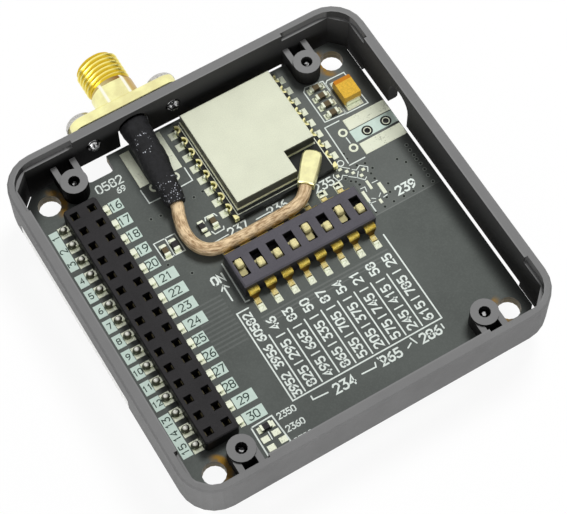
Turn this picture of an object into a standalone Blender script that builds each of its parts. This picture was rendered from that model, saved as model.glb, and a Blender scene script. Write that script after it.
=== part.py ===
"""Stacking radio module: a square moulded frame round a circuit board.

All named sizes are in millimetres about the middle of the board's underside, and MM turns them into
metres. +X runs along the back wall, +Y points out of the antenna connector, +Z is up. The whole
module is then set with its pin tips on the ground and its box centred over the origin.
"""

import math

import bmesh
import bpy
from mathutils import Vector

MM = 0.001

# How far a cutting shape runs past the faces that it opens, and how deep joined shapes sink in
OVERCUT = 1.0
SINK = 0.5

# Clearances between pieces
SEAT_GAP = 0.3
FIT_GAP = 0.12
SOLDER_GAP = 0.1

# Circuit board
BOARD_THICKNESS = 1.6
BOARD_CORNER = 1.7
NOTCH_CENTRE_X = -14.08
NOTCH_WIDTH = 4.15
NOTCH_DEPTH = 2.55
NOTCH_RADIUS = 0.7
STACK_HOLE_RADIUS = 1.6
STACK_HOLE_INSET = 2.86
EDGE_PAD_HOLE_RADIUS = 0.4
EDGE_PAD_HOLE_INSETS = (1.55, 4.55)
EDGE_PAD_Y = 10.1

# Frame
FRAME_PLAY = 0.55
FRAME_WALL = 1.5
FRAME_HEIGHT = 7.0
FRAME_DROP = 0.45
FRAME_CORNER_RADIUS = 5.0
FRAME_EDGE_BREAK = 0.25
POCKET_CHAMFER = 2.1
RIM_LIP = 1.0
STACK_PLAY = 0.1
RABBET_START_X = 16.2
RABBET_START_Y = 19.5
TONGUE_SETBACK = 0.04
BOSS_RADIUS = 1.9
BOSS_HEIGHT = 3.25
BOSS_INSET_X = 6.94
BOSS_INSET_Y = 2.92
BOSS_RIB_WIDTH = 0.85
BOSS_RIB_DROP = 0.35
BOSS_RIB_SETBACK = 0.05
BOSS_FOOT_STEP = 0.02
SIDE_ARCH_WIDTH = 4.7
SIDE_ARCH_SPRING = 2.7
SIDE_ARCH_SHIFT = 0.35
LABEL_LENGTH = 29.2
LABEL_HEIGHT = 2.3
LABEL_THICKNESS = 0.12
LABEL_CENTRE_Y = 5.8
LABEL_RISE = 0.35

# Screws that hold the frame on the board from below
SCREW_SHANK_RADIUS = 0.7
SCREW_HEAD_RADIUS = 1.9
SCREW_HEAD_HEIGHT = 1.1
SCREW_REACH = 2.7
SCREW_BOARD_PLAY = 0.4

# Bus connectors, two rows of pins
PIN_PITCH = 2.54
PIN_COUNT = 15
PIN_SIDE = 0.64
PIN_CORNER = 0.05
PIN_POINT = 0.3
PIN_TIP_SHARE = 0.6
BUS_INSET = 5.9
BUS_CENTRE_Y = -0.12
BUS_END_MARGIN = 6.0
SOCKET_WIDTH = 4.9
SOCKET_END = 1.42
SOCKET_HEIGHT = 2.7
SOCKET_HOLE = 1.1
SOCKET_HOLE_DEPTH = 2.0
SOCKET_CORNER = 0.3
SOCKET_EDGE_BREAK = 0.15
PLUG_WIDTH = 5.0
PLUG_HEIGHT = 2.5
PLUG_NOTCH = 0.55
PLUG_PIN_REACH = 4.65
LEAD_LENGTH = 1.15
LEAD_THICKNESS = 0.3
LEAD_ROOT = 0.4

# Switch block with sliding knobs
SWITCH_COUNT = 8
SWITCH_PITCH = 2.54
SWITCH_CENTRE_X = 3.5
SWITCH_CENTRE_Y = -0.4
SWITCH_END = 1.11
SWITCH_DEPTH = 5.6
SWITCH_HEIGHT = 3.1
SWITCH_EDGE_BREAK = 0.2
SWITCH_TOP_PLATE = 0.5
SWITCH_PLATE_OVERLAP = 0.2
SWITCH_FLOOR = 1.0
KNOB_WIDTH = 1.0
KNOB_LENGTH = 1.2
KNOB_RISE = 0.45
KNOB_PLAY = 0.18
KNOB_TRAVEL = 1.2
KNOB_END_PLAY = 0.2
KNOB_CROWN = 0.3
KNOB_CROWN_INSET = 0.2
KNOB_CORNER = 0.22
KNOB_CORNER_STEPS = 3
FOOT_WIDTH = 1.7
FOOT_THICKNESS = 0.6
FOOT_TAIL = 1.0
FOOT_TAIL_EDGE = 0.15
FOOT_LIP = 0.25
FOOT_PLAY = 0.1
KNOBS_ON = (1, 5, 7)
SWITCH_PIN_WIDTH = 1.55
SWITCH_PIN_FOOT_WIDTH = 0.75
SWITCH_PIN_THICKNESS = 0.22
SWITCH_PIN_BEND = 0.6
SWITCH_PIN_SPLAY = 0.35
SWITCH_PIN_REACH = 2.15
SWITCH_PIN_DEPTH = 0.6
SWITCH_PIN_LEVEL = 1.75

# Radio board and its shield can
RADIO_WIDTH = 16.0
RADIO_LENGTH = 17.0
RADIO_THICKNESS = 0.8
RADIO_CENTRE_X = 5.9
RADIO_BACK_INSET = 1.05
RADIO_PAD_PITCH = 2.0
RADIO_PAD_COUNT = 8
RADIO_PAD_FRONT = 2.1
RADIO_PAD_RADIUS = 0.42
CAN_SIDE_MARGIN = 1.02
CAN_FRONT_MARGIN = 1.1
CAN_BACK_MARGIN = 0.25
CAN_HEIGHT = 2.1
CAN_NOTCH_WIDTH = 4.65
CAN_NOTCH_DEPTH = 3.5
CAN_EDGE_BREAK = 0.2

# Coaxial plug on its receptacle
COAX_HEAD_INSET_X = 3.11
COAX_HEAD_INSET_Y = 1.82
COAX_HEADING = 228.0
RECEPTACLE_SIDE = 2.5
RECEPTACLE_BASE = 0.35
RECEPTACLE_POST_RADIUS = 0.9
RECEPTACLE_POST_HEIGHT = 0.7
COAX_PLUG_HEIGHT = 1.6
COAX_PLUG_HEAD = 1.35
COAX_PLUG_TAIL = 3.9
COAX_PLUG_TAIL_WIDTH = 2.25
COAX_PLUG_EDGE_BREAK = 0.2

# Antenna connector on the back wall
CONNECTOR_X = -7.16
CONNECTOR_RISE = 3.85
FLANGE_LENGTH = 15.9
FLANGE_WIDTH = 5.7
FLANGE_THICKNESS = 1.6
FLANGE_CORNER = 1.6
FLANGE_SCREW_SPACING = 12.22
FLANGE_SEAT = 0.12
SPIGOT_RADIUS = 2.05
BACK_ARCH_PLAY = 0.25
BARREL_RADIUS = 3.175
BARREL_BASE = 3.1
BARREL_RELIEF = 0.4
BARREL_RELIEF_DEPTH = 0.35
BARREL_THREAD = 4.3
BARREL_TIP_CHAMFER = 0.55
BARREL_FLAT_DROP = 0.12
BARREL_FLAT_STOP = 0.3
BORE_RADIUS = 2.05
BORE_FLOOR = 0.6
MOUTH_RADIUS = 2.3
MOUTH_DEPTH = 1.9
TAIL_HOLE_RADIUS = 0.9
CONTACT_RADIUS = 0.635
CONTACT_HOLE_RADIUS = 0.4
CONTACT_HOLE_DEPTH = 1.5
CONTACT_TAIL_RADIUS = 0.45
CONTACT_TAIL_LENGTH = 4.3
FLANGE_SCREW_RADIUS = 0.9
FLANGE_SCREW_HEAD_RADIUS = 2.2
FLANGE_SCREW_HEAD_HEIGHT = 1.45
FLANGE_SCREW_RIM = 0.2
FLANGE_SCREW_REACH = 4.05
FLANGE_SCREW_PLAY = 0.2

# Coaxial lead and the shrunk sleeve at its connector end
LEAD_DIAMETER = 1.8
LEAD_START = 2.8
LEAD_SPACING = 1.35
LEAD_STRAIGHT = 0.8
SLEEVE_LENGTH = 13.0
SLEEVE_SPACING = 1.3
SLEEVE_SIDES = 12
SLEEVE_RADII = (2.12, 1.93, 1.86, 1.92, 2.02, 1.82, 1.66, 1.5, 1.42)

# Small parts on the board
TANTALUM_LENGTH = 3.4
TANTALUM_WIDTH = 2.8
TANTALUM_HEIGHT = 1.9
TANTALUM_DRAFT = 0.12
TERMINAL_RISE = 0.02
TERMINAL_ROOT = 0.4
TERMINAL_REACH = 0.12
TANTALUM_INSET_X = 3.85
TANTALUM_Y = 16.6
CHIP_LENGTH = 1.6
CHIP_WIDTH = 0.82
CHIP_HEIGHT = 0.55
CHIP_CAP = 0.35
CHIP_CAP_STEP = 0.03
CHIP_ROW_INSET_X = 7.15
CHIP_ROW_Y = 17.1
CHIP_ROW_PITCH = 1.525
CHIP_ROW_COUNT = 4
SINGLE_CHIPS = ((-4.55, 8.72, 90), (-6.25, 8.72, 90), (-12.2, 8.1, 90), (-10.7, 8.25, 90), (-13.5, -20.2, 0))

# Levels and half sizes that follow from the sizes above
BOARD_SIDE = PIN_COUNT * PIN_PITCH + 2 * BUS_END_MARGIN
BOARD_HALF = BOARD_SIDE / 2
BOARD_TOP = BOARD_THICKNESS
INNER_HALF = BOARD_HALF + FRAME_PLAY
OUTER_HALF = INNER_HALF + FRAME_WALL
FRAME_BOTTOM = BOARD_TOP - FRAME_DROP
FRAME_TOP = FRAME_BOTTOM + FRAME_HEIGHT
TONGUE_DEPTH = FRAME_BOTTOM
RABBET_DEPTH = TONGUE_DEPTH + STACK_PLAY
BOSS_TOP = BOARD_TOP + BOSS_HEIGHT
BOSS_X = BOARD_HALF - BOSS_INSET_X
BOSS_Y = BOARD_HALF - BOSS_INSET_Y
BOSS_HOLE_RADIUS = SCREW_SHANK_RADIUS + FIT_GAP
CONNECTOR_Z = FRAME_BOTTOM + CONNECTOR_RISE
BACK_ARCH_WIDTH = 2 * (SPIGOT_RADIUS + BACK_ARCH_PLAY)
BUS_X = -BOARD_HALF + BUS_INSET
RADIO_CENTRE_Y = BOARD_HALF - RADIO_BACK_INSET - RADIO_LENGTH / 2
RADIO_TOP = BOARD_TOP + SEAT_GAP + RADIO_THICKNESS
COAX_HEAD_X = RADIO_CENTRE_X + RADIO_WIDTH / 2 - COAX_HEAD_INSET_X
COAX_HEAD_Y = RADIO_CENTRE_Y - RADIO_LENGTH / 2 + COAX_HEAD_INSET_Y
COAX_PLUG_BOTTOM = RADIO_TOP + SOLDER_GAP + RECEPTACLE_BASE + FIT_GAP
LEAD_RADIUS = LEAD_DIAMETER / 2
LEAD_END_Z = COAX_PLUG_BOTTOM + COAX_PLUG_HEIGHT / 2

CONNECTOR_REACH = FLANGE_SEAT + FLANGE_THICKNESS + BARREL_BASE + BARREL_RELIEF + BARREL_THREAD
MODULE_PLACE = (0.0, -CONNECTOR_REACH / 2, PLUG_PIN_REACH)

# Hand-chosen route of the lead's centre line, from the back wall to the coaxial plug
COAX_DIRECTION = (math.cos(math.radians(COAX_HEADING)), math.sin(math.radians(COAX_HEADING)))
LEAD_END_REACH = COAX_PLUG_TAIL + SEAT_GAP


def behind_plug(reach):
    """Point on the coaxial plug's axis at a reach behind the middle of its head."""
    x = COAX_HEAD_X + COAX_DIRECTION[0] * reach
    return (x, COAX_HEAD_Y + COAX_DIRECTION[1] * reach, LEAD_END_Z)


LEAD_ROUTE = (
    (CONNECTOR_X, INNER_HALF - FIT_GAP, CONNECTOR_Z),
    (CONNECTOR_X - 0.14, INNER_HALF - 4.3, CONNECTOR_Z - 0.25),
    (CONNECTOR_X - 0.39, INNER_HALF - 8.7, CONNECTOR_Z - 1.0),
    (CONNECTOR_X - 0.62, INNER_HALF - 12.7, CONNECTOR_Z - 1.6),
    (-8.3, 11.3, 3.1),
    (-8.82, 9.2, 2.95),
    (-8.8, 7.3, 2.95),
    (-8.3, 5.85, 2.95),
    (-7.25, 4.8, 2.95),
    (-5.85, 4.35, 2.95),
    (-3.9, 4.22, 2.95),
    (-1.0, 4.22, 2.95),
    (1.8, 4.25, 3.0),
    (COAX_HEAD_X - 6.79, COAX_HEAD_Y - 4.57, 3.15),
    (COAX_HEAD_X - 5.29, COAX_HEAD_Y - 4.57, 3.45),
    (COAX_HEAD_X - 4.19, COAX_HEAD_Y - 4.3, 3.75),
    behind_plug(LEAD_END_REACH + LEAD_STRAIGHT),
    behind_plug(LEAD_END_REACH),
)


def at(axis, u, v, w):
    """A point from its two coordinates in the plane across an axis and its level along it."""
    return {"x": (w, u, v), "y": (u, w, v), "z": (u, v, w)}[axis]


def rounded(half_u, half_v, radius, steps, centre=(0.0, 0.0)):
    """Rectangle with round corners, or cut ones where steps is 1."""
    points = []
    for sign_u, sign_v, start in ((1, 1, 0), (-1, 1, 90), (-1, -1, 180), (1, -1, 270)):
        for step in range(steps + 1):
            angle = math.radians(start + 90 * step / steps)
            u = sign_u * (half_u - radius) + radius * math.cos(angle)
            v = sign_v * (half_v - radius) + radius * math.sin(angle)
            points.append((centre[0] + u, centre[1] + v))
    return points


def circle(radius, steps, centre=(0.0, 0.0)):
    """Round outline."""
    turns = [2 * math.pi * (step + 0.5) / steps for step in range(steps)]
    return [(centre[0] + radius * math.cos(t), centre[1] + radius * math.sin(t)) for t in turns]


def rectangle(low_u, high_u, low_v, high_v):
    """Outline of a plain rectangle from its four limits."""
    return [(low_u, low_v), (high_u, low_v), (high_u, high_v), (low_u, high_v)]


def prism(bm, outline, low, high, axis="z"):
    """Extrudes an outline between two levels along an axis."""
    base = [bm.verts.new(Vector(at(axis, u, v, low)) * MM) for u, v in outline]
    made = bmesh.ops.extrude_face_region(bm, geom=[bm.faces.new(base)])
    moved = [item for item in made["geom"] if isinstance(item, bmesh.types.BMVert)]
    bmesh.ops.translate(bm, verts=moved, vec=Vector(at(axis, 0, 0, high - low)) * MM)


def box(bm, low, high):
    """Extrudes the rectangle between two opposite corners."""
    prism(bm, rectangle(low[0], high[0], low[1], high[1]), low[2], high[2])


def loft(bm, loops, ring=False):
    """Joins loops of equally many points into a closed skin, capped unless it is a ring."""
    rows = [[bm.verts.new(Vector(point) * MM) for point in loop] for loop in loops]
    pairs = list(zip(rows, rows[1:]))
    if ring:
        pairs.append((rows[-1], rows[0]))
    else:
        bm.faces.new(rows[0])
        bm.faces.new(rows[-1])
    for low, high in pairs:
        for here in range(len(low)):
            after = (here + 1) % len(low)
            bm.faces.new((low[here], low[after], high[after], high[here]))


def levels(outline, level):
    """A flat loop of an outline at a level."""
    return [(u, v, level) for u, v in outline]


def turned(bm, profile, steps, axis="y"):
    """Spins a profile of radius and level pairs round an axis through the origin."""
    verts = [bm.verts.new(Vector(at(axis, radius, 0, level)) * MM) for radius, level in profile]
    edges = [bm.edges.new(pair) for pair in zip(verts, verts[1:])]
    along = Vector(at(axis, 0, 0, 1))
    bmesh.ops.spin(bm, geom=verts + edges, cent=(0, 0, 0), axis=along, angle=2 * math.pi, steps=steps)
    bmesh.ops.remove_doubles(bm, verts=bm.verts[:], dist=1e-6)


def material(name, colour, metallic, roughness):
    """Principled surface with one colour."""
    made = bpy.data.materials.new(name)
    made.use_nodes = True
    surface = made.node_tree.nodes["Principled BSDF"]
    surface.inputs["Base Color"].default_value = (*colour, 1.0)
    surface.inputs["Metallic"].default_value = metallic
    surface.inputs["Roughness"].default_value = roughness
    made.diffuse_color = (*colour, 1.0)
    return made


def mesh_from(name, bm, surface=None, sharp=None):
    """Turns a bmesh into a mesh with outward faces, smooth below the sharp angle."""
    bmesh.ops.recalc_face_normals(bm, faces=bm.faces[:])
    mesh = bpy.data.meshes.new(name)
    bm.to_mesh(mesh)
    bm.free()
    if surface:
        mesh.materials.append(surface)
    if sharp:
        mesh.shade_smooth()
        mesh.set_sharp_from_angle(angle=math.radians(sharp))
    return mesh


def put(name, data, parent=None, location=(0.0, 0.0, 0.0), turn=0.0):
    """Adds an object at a place given in millimetres, turned about its own +Z by degrees."""
    made = bpy.data.objects.new(name, data)
    made.location = Vector(location) * MM
    made.rotation_euler = (0.0, 0.0, math.radians(turn))
    made.parent = parent
    bpy.context.scene.collection.objects.link(made)
    return made


def tool_for(owner, operation, bm):
    """Adds a Boolean to an object, with its tool as a hidden wire helper beside it."""
    name = f"{owner.name}_{operation.lower()}_{len(owner.modifiers) + 1}"
    helper = put(name, mesh_from(name, bm), owner.parent, owner.location / MM)
    helper.rotation_euler = owner.rotation_euler
    helper.hide_render = True
    helper.display_type = "WIRE"
    modifier = owner.modifiers.new(name, "BOOLEAN")
    modifier.operation = operation
    modifier.solver = "EXACT"
    modifier.object = helper


def corner_band(half, radius, inner, chamfer, start_x, start_y, steps):
    """Outline of the band round one corner, between a round outer line and a cut inner one."""
    points = [(start_x, inner), (start_x, half)]
    for step in range(steps + 1):
        angle = math.radians(90 - 90 * step / steps)
        points.append((half - radius + radius * math.cos(angle), half - radius + radius * math.sin(angle)))
    points += [(half, start_y), (inner, start_y), (inner, inner - chamfer), (inner - chamfer, inner)]
    return points


def four_corners(bm, outline, low, high):
    """One prism in each corner, mirrored from the corner at +X +Y."""
    for sign_x in (1, -1):
        for sign_y in (1, -1):
            prism(bm, [(sign_x * x, sign_y * y) for x, y in outline], low, high)


def arch(centre, width, spring, low, steps=10):
    """Upright slot with a round top, open at its foot."""
    points = [(centre + width / 2, low)]
    for step in range(steps + 1):
        angle = math.pi * step / steps
        points.append((centre + width / 2 * math.cos(angle), spring + width / 2 * math.sin(angle)))
    points.append((centre - width / 2, low))
    return points


def make_frame(surface, parent):
    """Moulded ring with stacking rabbets and tongues, screw bosses and two arched openings."""
    steps = 6
    bm = bmesh.new()
    full = rounded(OUTER_HALF, OUTER_HALF, FRAME_CORNER_RADIUS, steps)
    edge = OUTER_HALF - FRAME_EDGE_BREAK
    small = rounded(edge, edge, FRAME_CORNER_RADIUS - FRAME_EDGE_BREAK, steps)
    loft(
        bm,
        (
            levels(small, FRAME_BOTTOM),
            levels(full, FRAME_BOTTOM + FRAME_EDGE_BREAK),
            levels(full, FRAME_TOP - FRAME_EDGE_BREAK),
            levels(small, FRAME_TOP),
        ),
    )
    frame = put("frame", mesh_from("frame", bm, surface, 40), parent)

    # The pocket goes right through and leaves the wall and the cut inner corners
    bm = bmesh.new()
    pocket = rounded(INNER_HALF, INNER_HALF, POCKET_CHAMFER, 1)
    prism(bm, pocket, FRAME_BOTTOM - OVERCUT, FRAME_TOP + OVERCUT)
    tool_for(frame, "DIFFERENCE", bm)

    # Rabbets that take the tongues of the module above
    bm = bmesh.new()
    lip = OUTER_HALF - RIM_LIP
    band = corner_band(
        lip,
        FRAME_CORNER_RADIUS - RIM_LIP,
        INNER_HALF - OVERCUT,
        POCKET_CHAMFER,
        RABBET_START_X,
        RABBET_START_Y,
        steps,
    )
    four_corners(bm, band, FRAME_TOP - RABBET_DEPTH, FRAME_TOP + OVERCUT)
    tool_for(frame, "DIFFERENCE", bm)

    # Tongues that reach down to the board's underside, set back from the pocket's faces
    bm = bmesh.new()
    tongue = corner_band(
        lip - STACK_PLAY,
        FRAME_CORNER_RADIUS - RIM_LIP - STACK_PLAY,
        INNER_HALF + TONGUE_SETBACK,
        POCKET_CHAMFER,
        RABBET_START_X + STACK_PLAY,
        RABBET_START_Y + STACK_PLAY,
        steps,
    )
    four_corners(bm, tongue, FRAME_BOTTOM - TONGUE_DEPTH, FRAME_BOTTOM + SINK)
    tool_for(frame, "UNION", bm)

    # Paired ribs run from each boss into the nearest wall
    foot = BOARD_TOP + SEAT_GAP
    bm = bmesh.new()
    outside = BOSS_RADIUS - BOSS_RIB_SETBACK
    for sign_x in (1, -1):
        for sign_y in (1, -1):
            for side in (1, -1):
                near = sign_x * BOSS_X + side * (outside - BOSS_RIB_WIDTH)
                far = sign_x * BOSS_X + side * outside
                wall = sign_y * (INNER_HALF + FRAME_WALL / 2)
                across = sorted((near, far))
                along = sorted((sign_y * BOSS_Y, wall))
                box(bm, (across[0], along[0], foot), (across[1], along[1], BOSS_TOP - BOSS_RIB_DROP))
    tool_for(frame, "UNION", bm)

    bm = bmesh.new()
    for sign_x in (1, -1):
        for sign_y in (1, -1):
            outline = circle(BOSS_RADIUS, 20, (sign_x * BOSS_X, sign_y * BOSS_Y))
            prism(bm, outline, foot - BOSS_FOOT_STEP, BOSS_TOP)
    tool_for(frame, "UNION", bm)

    bm = bmesh.new()
    for sign_x in (1, -1):
        for sign_y in (1, -1):
            hole = circle(BOSS_HOLE_RADIUS, 12, (sign_x * BOSS_X, sign_y * BOSS_Y))
            prism(bm, hole, foot - OVERCUT, BOSS_TOP + OVERCUT)
    tool_for(frame, "DIFFERENCE", bm)

    # Arch in the side wall, arch for the connector's spigot, screw holes and label recess
    bm = bmesh.new()
    side_spring = BOARD_TOP + SIDE_ARCH_SPRING
    side = arch(EDGE_PAD_Y + SIDE_ARCH_SHIFT, SIDE_ARCH_WIDTH, side_spring, FRAME_BOTTOM - OVERCUT)
    prism(bm, side, INNER_HALF - OVERCUT, OUTER_HALF + OVERCUT, "x")
    back = arch(CONNECTOR_X, BACK_ARCH_WIDTH, CONNECTOR_Z, FRAME_BOTTOM - OVERCUT)
    prism(bm, back, INNER_HALF - OVERCUT, OUTER_HALF + OVERCUT, "y")
    hole_radius = FLANGE_SCREW_RADIUS + FLANGE_SCREW_PLAY
    for sign in (1, -1):
        centre = (CONNECTOR_X + sign * FLANGE_SCREW_SPACING / 2, CONNECTOR_Z)
        prism(bm, circle(hole_radius, 12, centre), INNER_HALF - OVERCUT, OUTER_HALF + OVERCUT, "y")
    recess = LABEL_THICKNESS + SOLDER_GAP
    bottom = FRAME_BOTTOM + LABEL_RISE
    box(
        bm,
        (-OUTER_HALF - OVERCUT, LABEL_CENTRE_Y - LABEL_LENGTH / 2 - FIT_GAP, bottom - FIT_GAP),
        (-OUTER_HALF + recess, LABEL_CENTRE_Y + LABEL_LENGTH / 2 + FIT_GAP, bottom + LABEL_HEIGHT + FIT_GAP),
    )
    tool_for(frame, "DIFFERENCE", bm)


def make_label(surface, parent):
    """Blank strip in the recess of the outer side wall."""
    bm = bmesh.new()
    half = LABEL_THICKNESS / 2
    box(bm, (-half, -LABEL_LENGTH / 2, 0), (half, LABEL_LENGTH / 2, LABEL_HEIGHT))
    place = (-OUTER_HALF + half, LABEL_CENTRE_Y, FRAME_BOTTOM + LABEL_RISE)
    put("side_label", mesh_from("side_label", bm, surface), parent, place)


def board_outline():
    """Square with cut corners and a notch with round inner corners in the back edge."""
    half = BOARD_HALF
    cut = BOARD_CORNER
    right = NOTCH_CENTRE_X + NOTCH_WIDTH / 2
    left = NOTCH_CENTRE_X - NOTCH_WIDTH / 2
    floor = half - NOTCH_DEPTH
    points = [(half, -half + cut), (half, half - cut), (half - cut, half), (right, half)]
    for start, centre_x in ((0, right - NOTCH_RADIUS), (270, left + NOTCH_RADIUS)):
        for step in range(4):
            angle = math.radians(start - 30 * step)
            x = centre_x + NOTCH_RADIUS * math.cos(angle)
            points.append((x, floor + NOTCH_RADIUS + NOTCH_RADIUS * math.sin(angle)))
    points += [(left, half), (-half + cut, half), (-half, half - cut)]
    points += [(-half, -half + cut), (-half + cut, -half), (half - cut, -half)]
    return points


def make_board(surface, parent):
    """Board with stacking holes, screw holes and the two plated holes of the side pads."""
    bm = bmesh.new()
    prism(bm, board_outline(), 0, BOARD_THICKNESS)
    board = put("circuit_board", mesh_from("circuit_board", bm, surface), parent)
    bm = bmesh.new()
    stack = BOARD_HALF - STACK_HOLE_INSET
    for sign_x in (1, -1):
        for sign_y in (1, -1):
            hole = circle(STACK_HOLE_RADIUS, 16, (sign_x * stack, sign_y * stack))
            prism(bm, hole, -OVERCUT, BOARD_TOP + OVERCUT)
            clearance = SCREW_SHANK_RADIUS + SCREW_BOARD_PLAY
            hole = circle(clearance, 12, (sign_x * BOSS_X, sign_y * BOSS_Y))
            prism(bm, hole, -OVERCUT, BOARD_TOP + OVERCUT)
    for inset in EDGE_PAD_HOLE_INSETS:
        hole = circle(EDGE_PAD_HOLE_RADIUS, 8, (BOARD_HALF - inset, EDGE_PAD_Y))
        prism(bm, hole, -OVERCUT, BOARD_TOP + OVERCUT)
    tool_for(board, "DIFFERENCE", bm)


def make_board_screws(surface, parent):
    """Pan-head screws driven up through the board into the frame's bosses."""
    bm = bmesh.new()
    reach = BOARD_THICKNESS + SCREW_REACH
    profile = (
        (0, -SCREW_HEAD_HEIGHT),
        (SCREW_HEAD_RADIUS * 0.6, -SCREW_HEAD_HEIGHT),
        (SCREW_HEAD_RADIUS, -SCREW_HEAD_HEIGHT * 0.45),
        (SCREW_HEAD_RADIUS, 0),
        (SCREW_SHANK_RADIUS, 0),
        (SCREW_SHANK_RADIUS, reach - 0.3),
        (SCREW_SHANK_RADIUS * 0.5, reach),
        (0, reach),
    )
    turned(bm, profile, 12, "z")
    mesh = mesh_from("board_screw", bm, surface, 40)
    places = ((1, 1), (-1, 1), (-1, -1), (1, -1))
    for number, (sign_x, sign_y) in enumerate(places, 1):
        put(f"board_screw_{number}", mesh, parent, (sign_x * BOSS_X, sign_y * BOSS_Y, -SOLDER_GAP))


def pin_places():
    """Places of the pins in two rows, about the middle of a bus connector."""
    first = PIN_PITCH * (PIN_COUNT - 1) / 2
    for side in (-1, 1):
        for number in range(PIN_COUNT):
            yield side, side * PIN_PITCH / 2, first - number * PIN_PITCH


def add_leads(body, width, level):
    """Flat soldered leads that come out of both long sides of a bus connector."""
    bm = bmesh.new()
    for side, _, y in pin_places():
        across = sorted((side * (width / 2 - LEAD_ROOT), side * (width / 2 + LEAD_LENGTH)))
        low = (across[0], y - PIN_SIDE / 2, level)
        high = (across[1], y + PIN_SIDE / 2, level + LEAD_THICKNESS)
        box(bm, low, high)
    tool_for(body, "UNION", bm)


def make_bus_socket(surface, parent):
    """Low socket strip with two rows of square holes."""
    length = PIN_PITCH * (PIN_COUNT - 1) + 2 * SOCKET_END
    bm = bmesh.new()
    edge = SOCKET_EDGE_BREAK
    outline = rounded(SOCKET_WIDTH / 2, length / 2, SOCKET_CORNER, 1)
    top = rounded(SOCKET_WIDTH / 2 - edge, length / 2 - edge, SOCKET_CORNER - edge / 3, 1)
    body_height = SOCKET_HEIGHT - SEAT_GAP
    loft(bm, (levels(outline, 0), levels(outline, body_height - edge), levels(top, body_height)))
    place = (BUS_X, BUS_CENTRE_Y, BOARD_TOP + SEAT_GAP)
    socket = put("bus_socket", mesh_from("bus_socket", bm, surface), parent, place)
    add_leads(socket, SOCKET_WIDTH, 2 * SOLDER_GAP - SEAT_GAP)
    bm = bmesh.new()
    half = SOCKET_HOLE / 2
    for _, x, y in pin_places():
        hole = rectangle(x - half, x + half, y - half, y + half)
        prism(bm, hole, body_height - SOCKET_HOLE_DEPTH, body_height + OVERCUT)
    tool_for(socket, "DIFFERENCE", bm)


def plug_outline():
    """Strip outline with a cut between each two pins, as snap-off pin strips have."""
    points = []
    half_length = PIN_PITCH * PIN_COUNT / 2
    for side in (1, -1):
        for number in range(PIN_COUNT):
            centre = side * (-half_length + PIN_PITCH * (number + 0.5))
            reach = side * (PIN_PITCH / 2 - PLUG_NOTCH)
            points.append((side * (PLUG_WIDTH / 2 - PLUG_NOTCH), centre - side * PIN_PITCH / 2))
            points.append((side * PLUG_WIDTH / 2, centre - reach))
            points.append((side * PLUG_WIDTH / 2, centre + reach))
        points.append((side * (PLUG_WIDTH / 2 - PLUG_NOTCH), side * half_length))
    return points


def make_bus_plug(surface, parent):
    """Pin strip under the board, its pins pointing down."""
    bm = bmesh.new()
    prism(bm, plug_outline(), -PLUG_HEIGHT, -SEAT_GAP)
    place = (BUS_X, BUS_CENTRE_Y, 0)
    plug = put("bus_plug", mesh_from("bus_plug", bm, surface), parent, place)
    bm = bmesh.new()
    half = PIN_SIDE / 2
    for _, x, y in pin_places():
        low = rounded(half * PIN_TIP_SHARE, half * PIN_TIP_SHARE, PIN_CORNER, 1, (x, y))
        full = rounded(half, half, PIN_CORNER, 1, (x, y))
        loft(
            bm,
            (
                levels(low, -PLUG_PIN_REACH),
                levels(full, -PLUG_PIN_REACH + PIN_POINT),
                levels(full, -PLUG_HEIGHT / 2),
            ),
        )
    tool_for(plug, "UNION", bm)
    add_leads(plug, PLUG_WIDTH - 2 * PLUG_NOTCH, -SOLDER_GAP - LEAD_THICKNESS)


def knob_places():
    """Number, place along the switch and direction of travel of each knob."""
    for number in range(1, SWITCH_COUNT + 1):
        x = (number - (SWITCH_COUNT + 1) / 2) * SWITCH_PITCH
        yield number, x, number in KNOBS_ON


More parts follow.
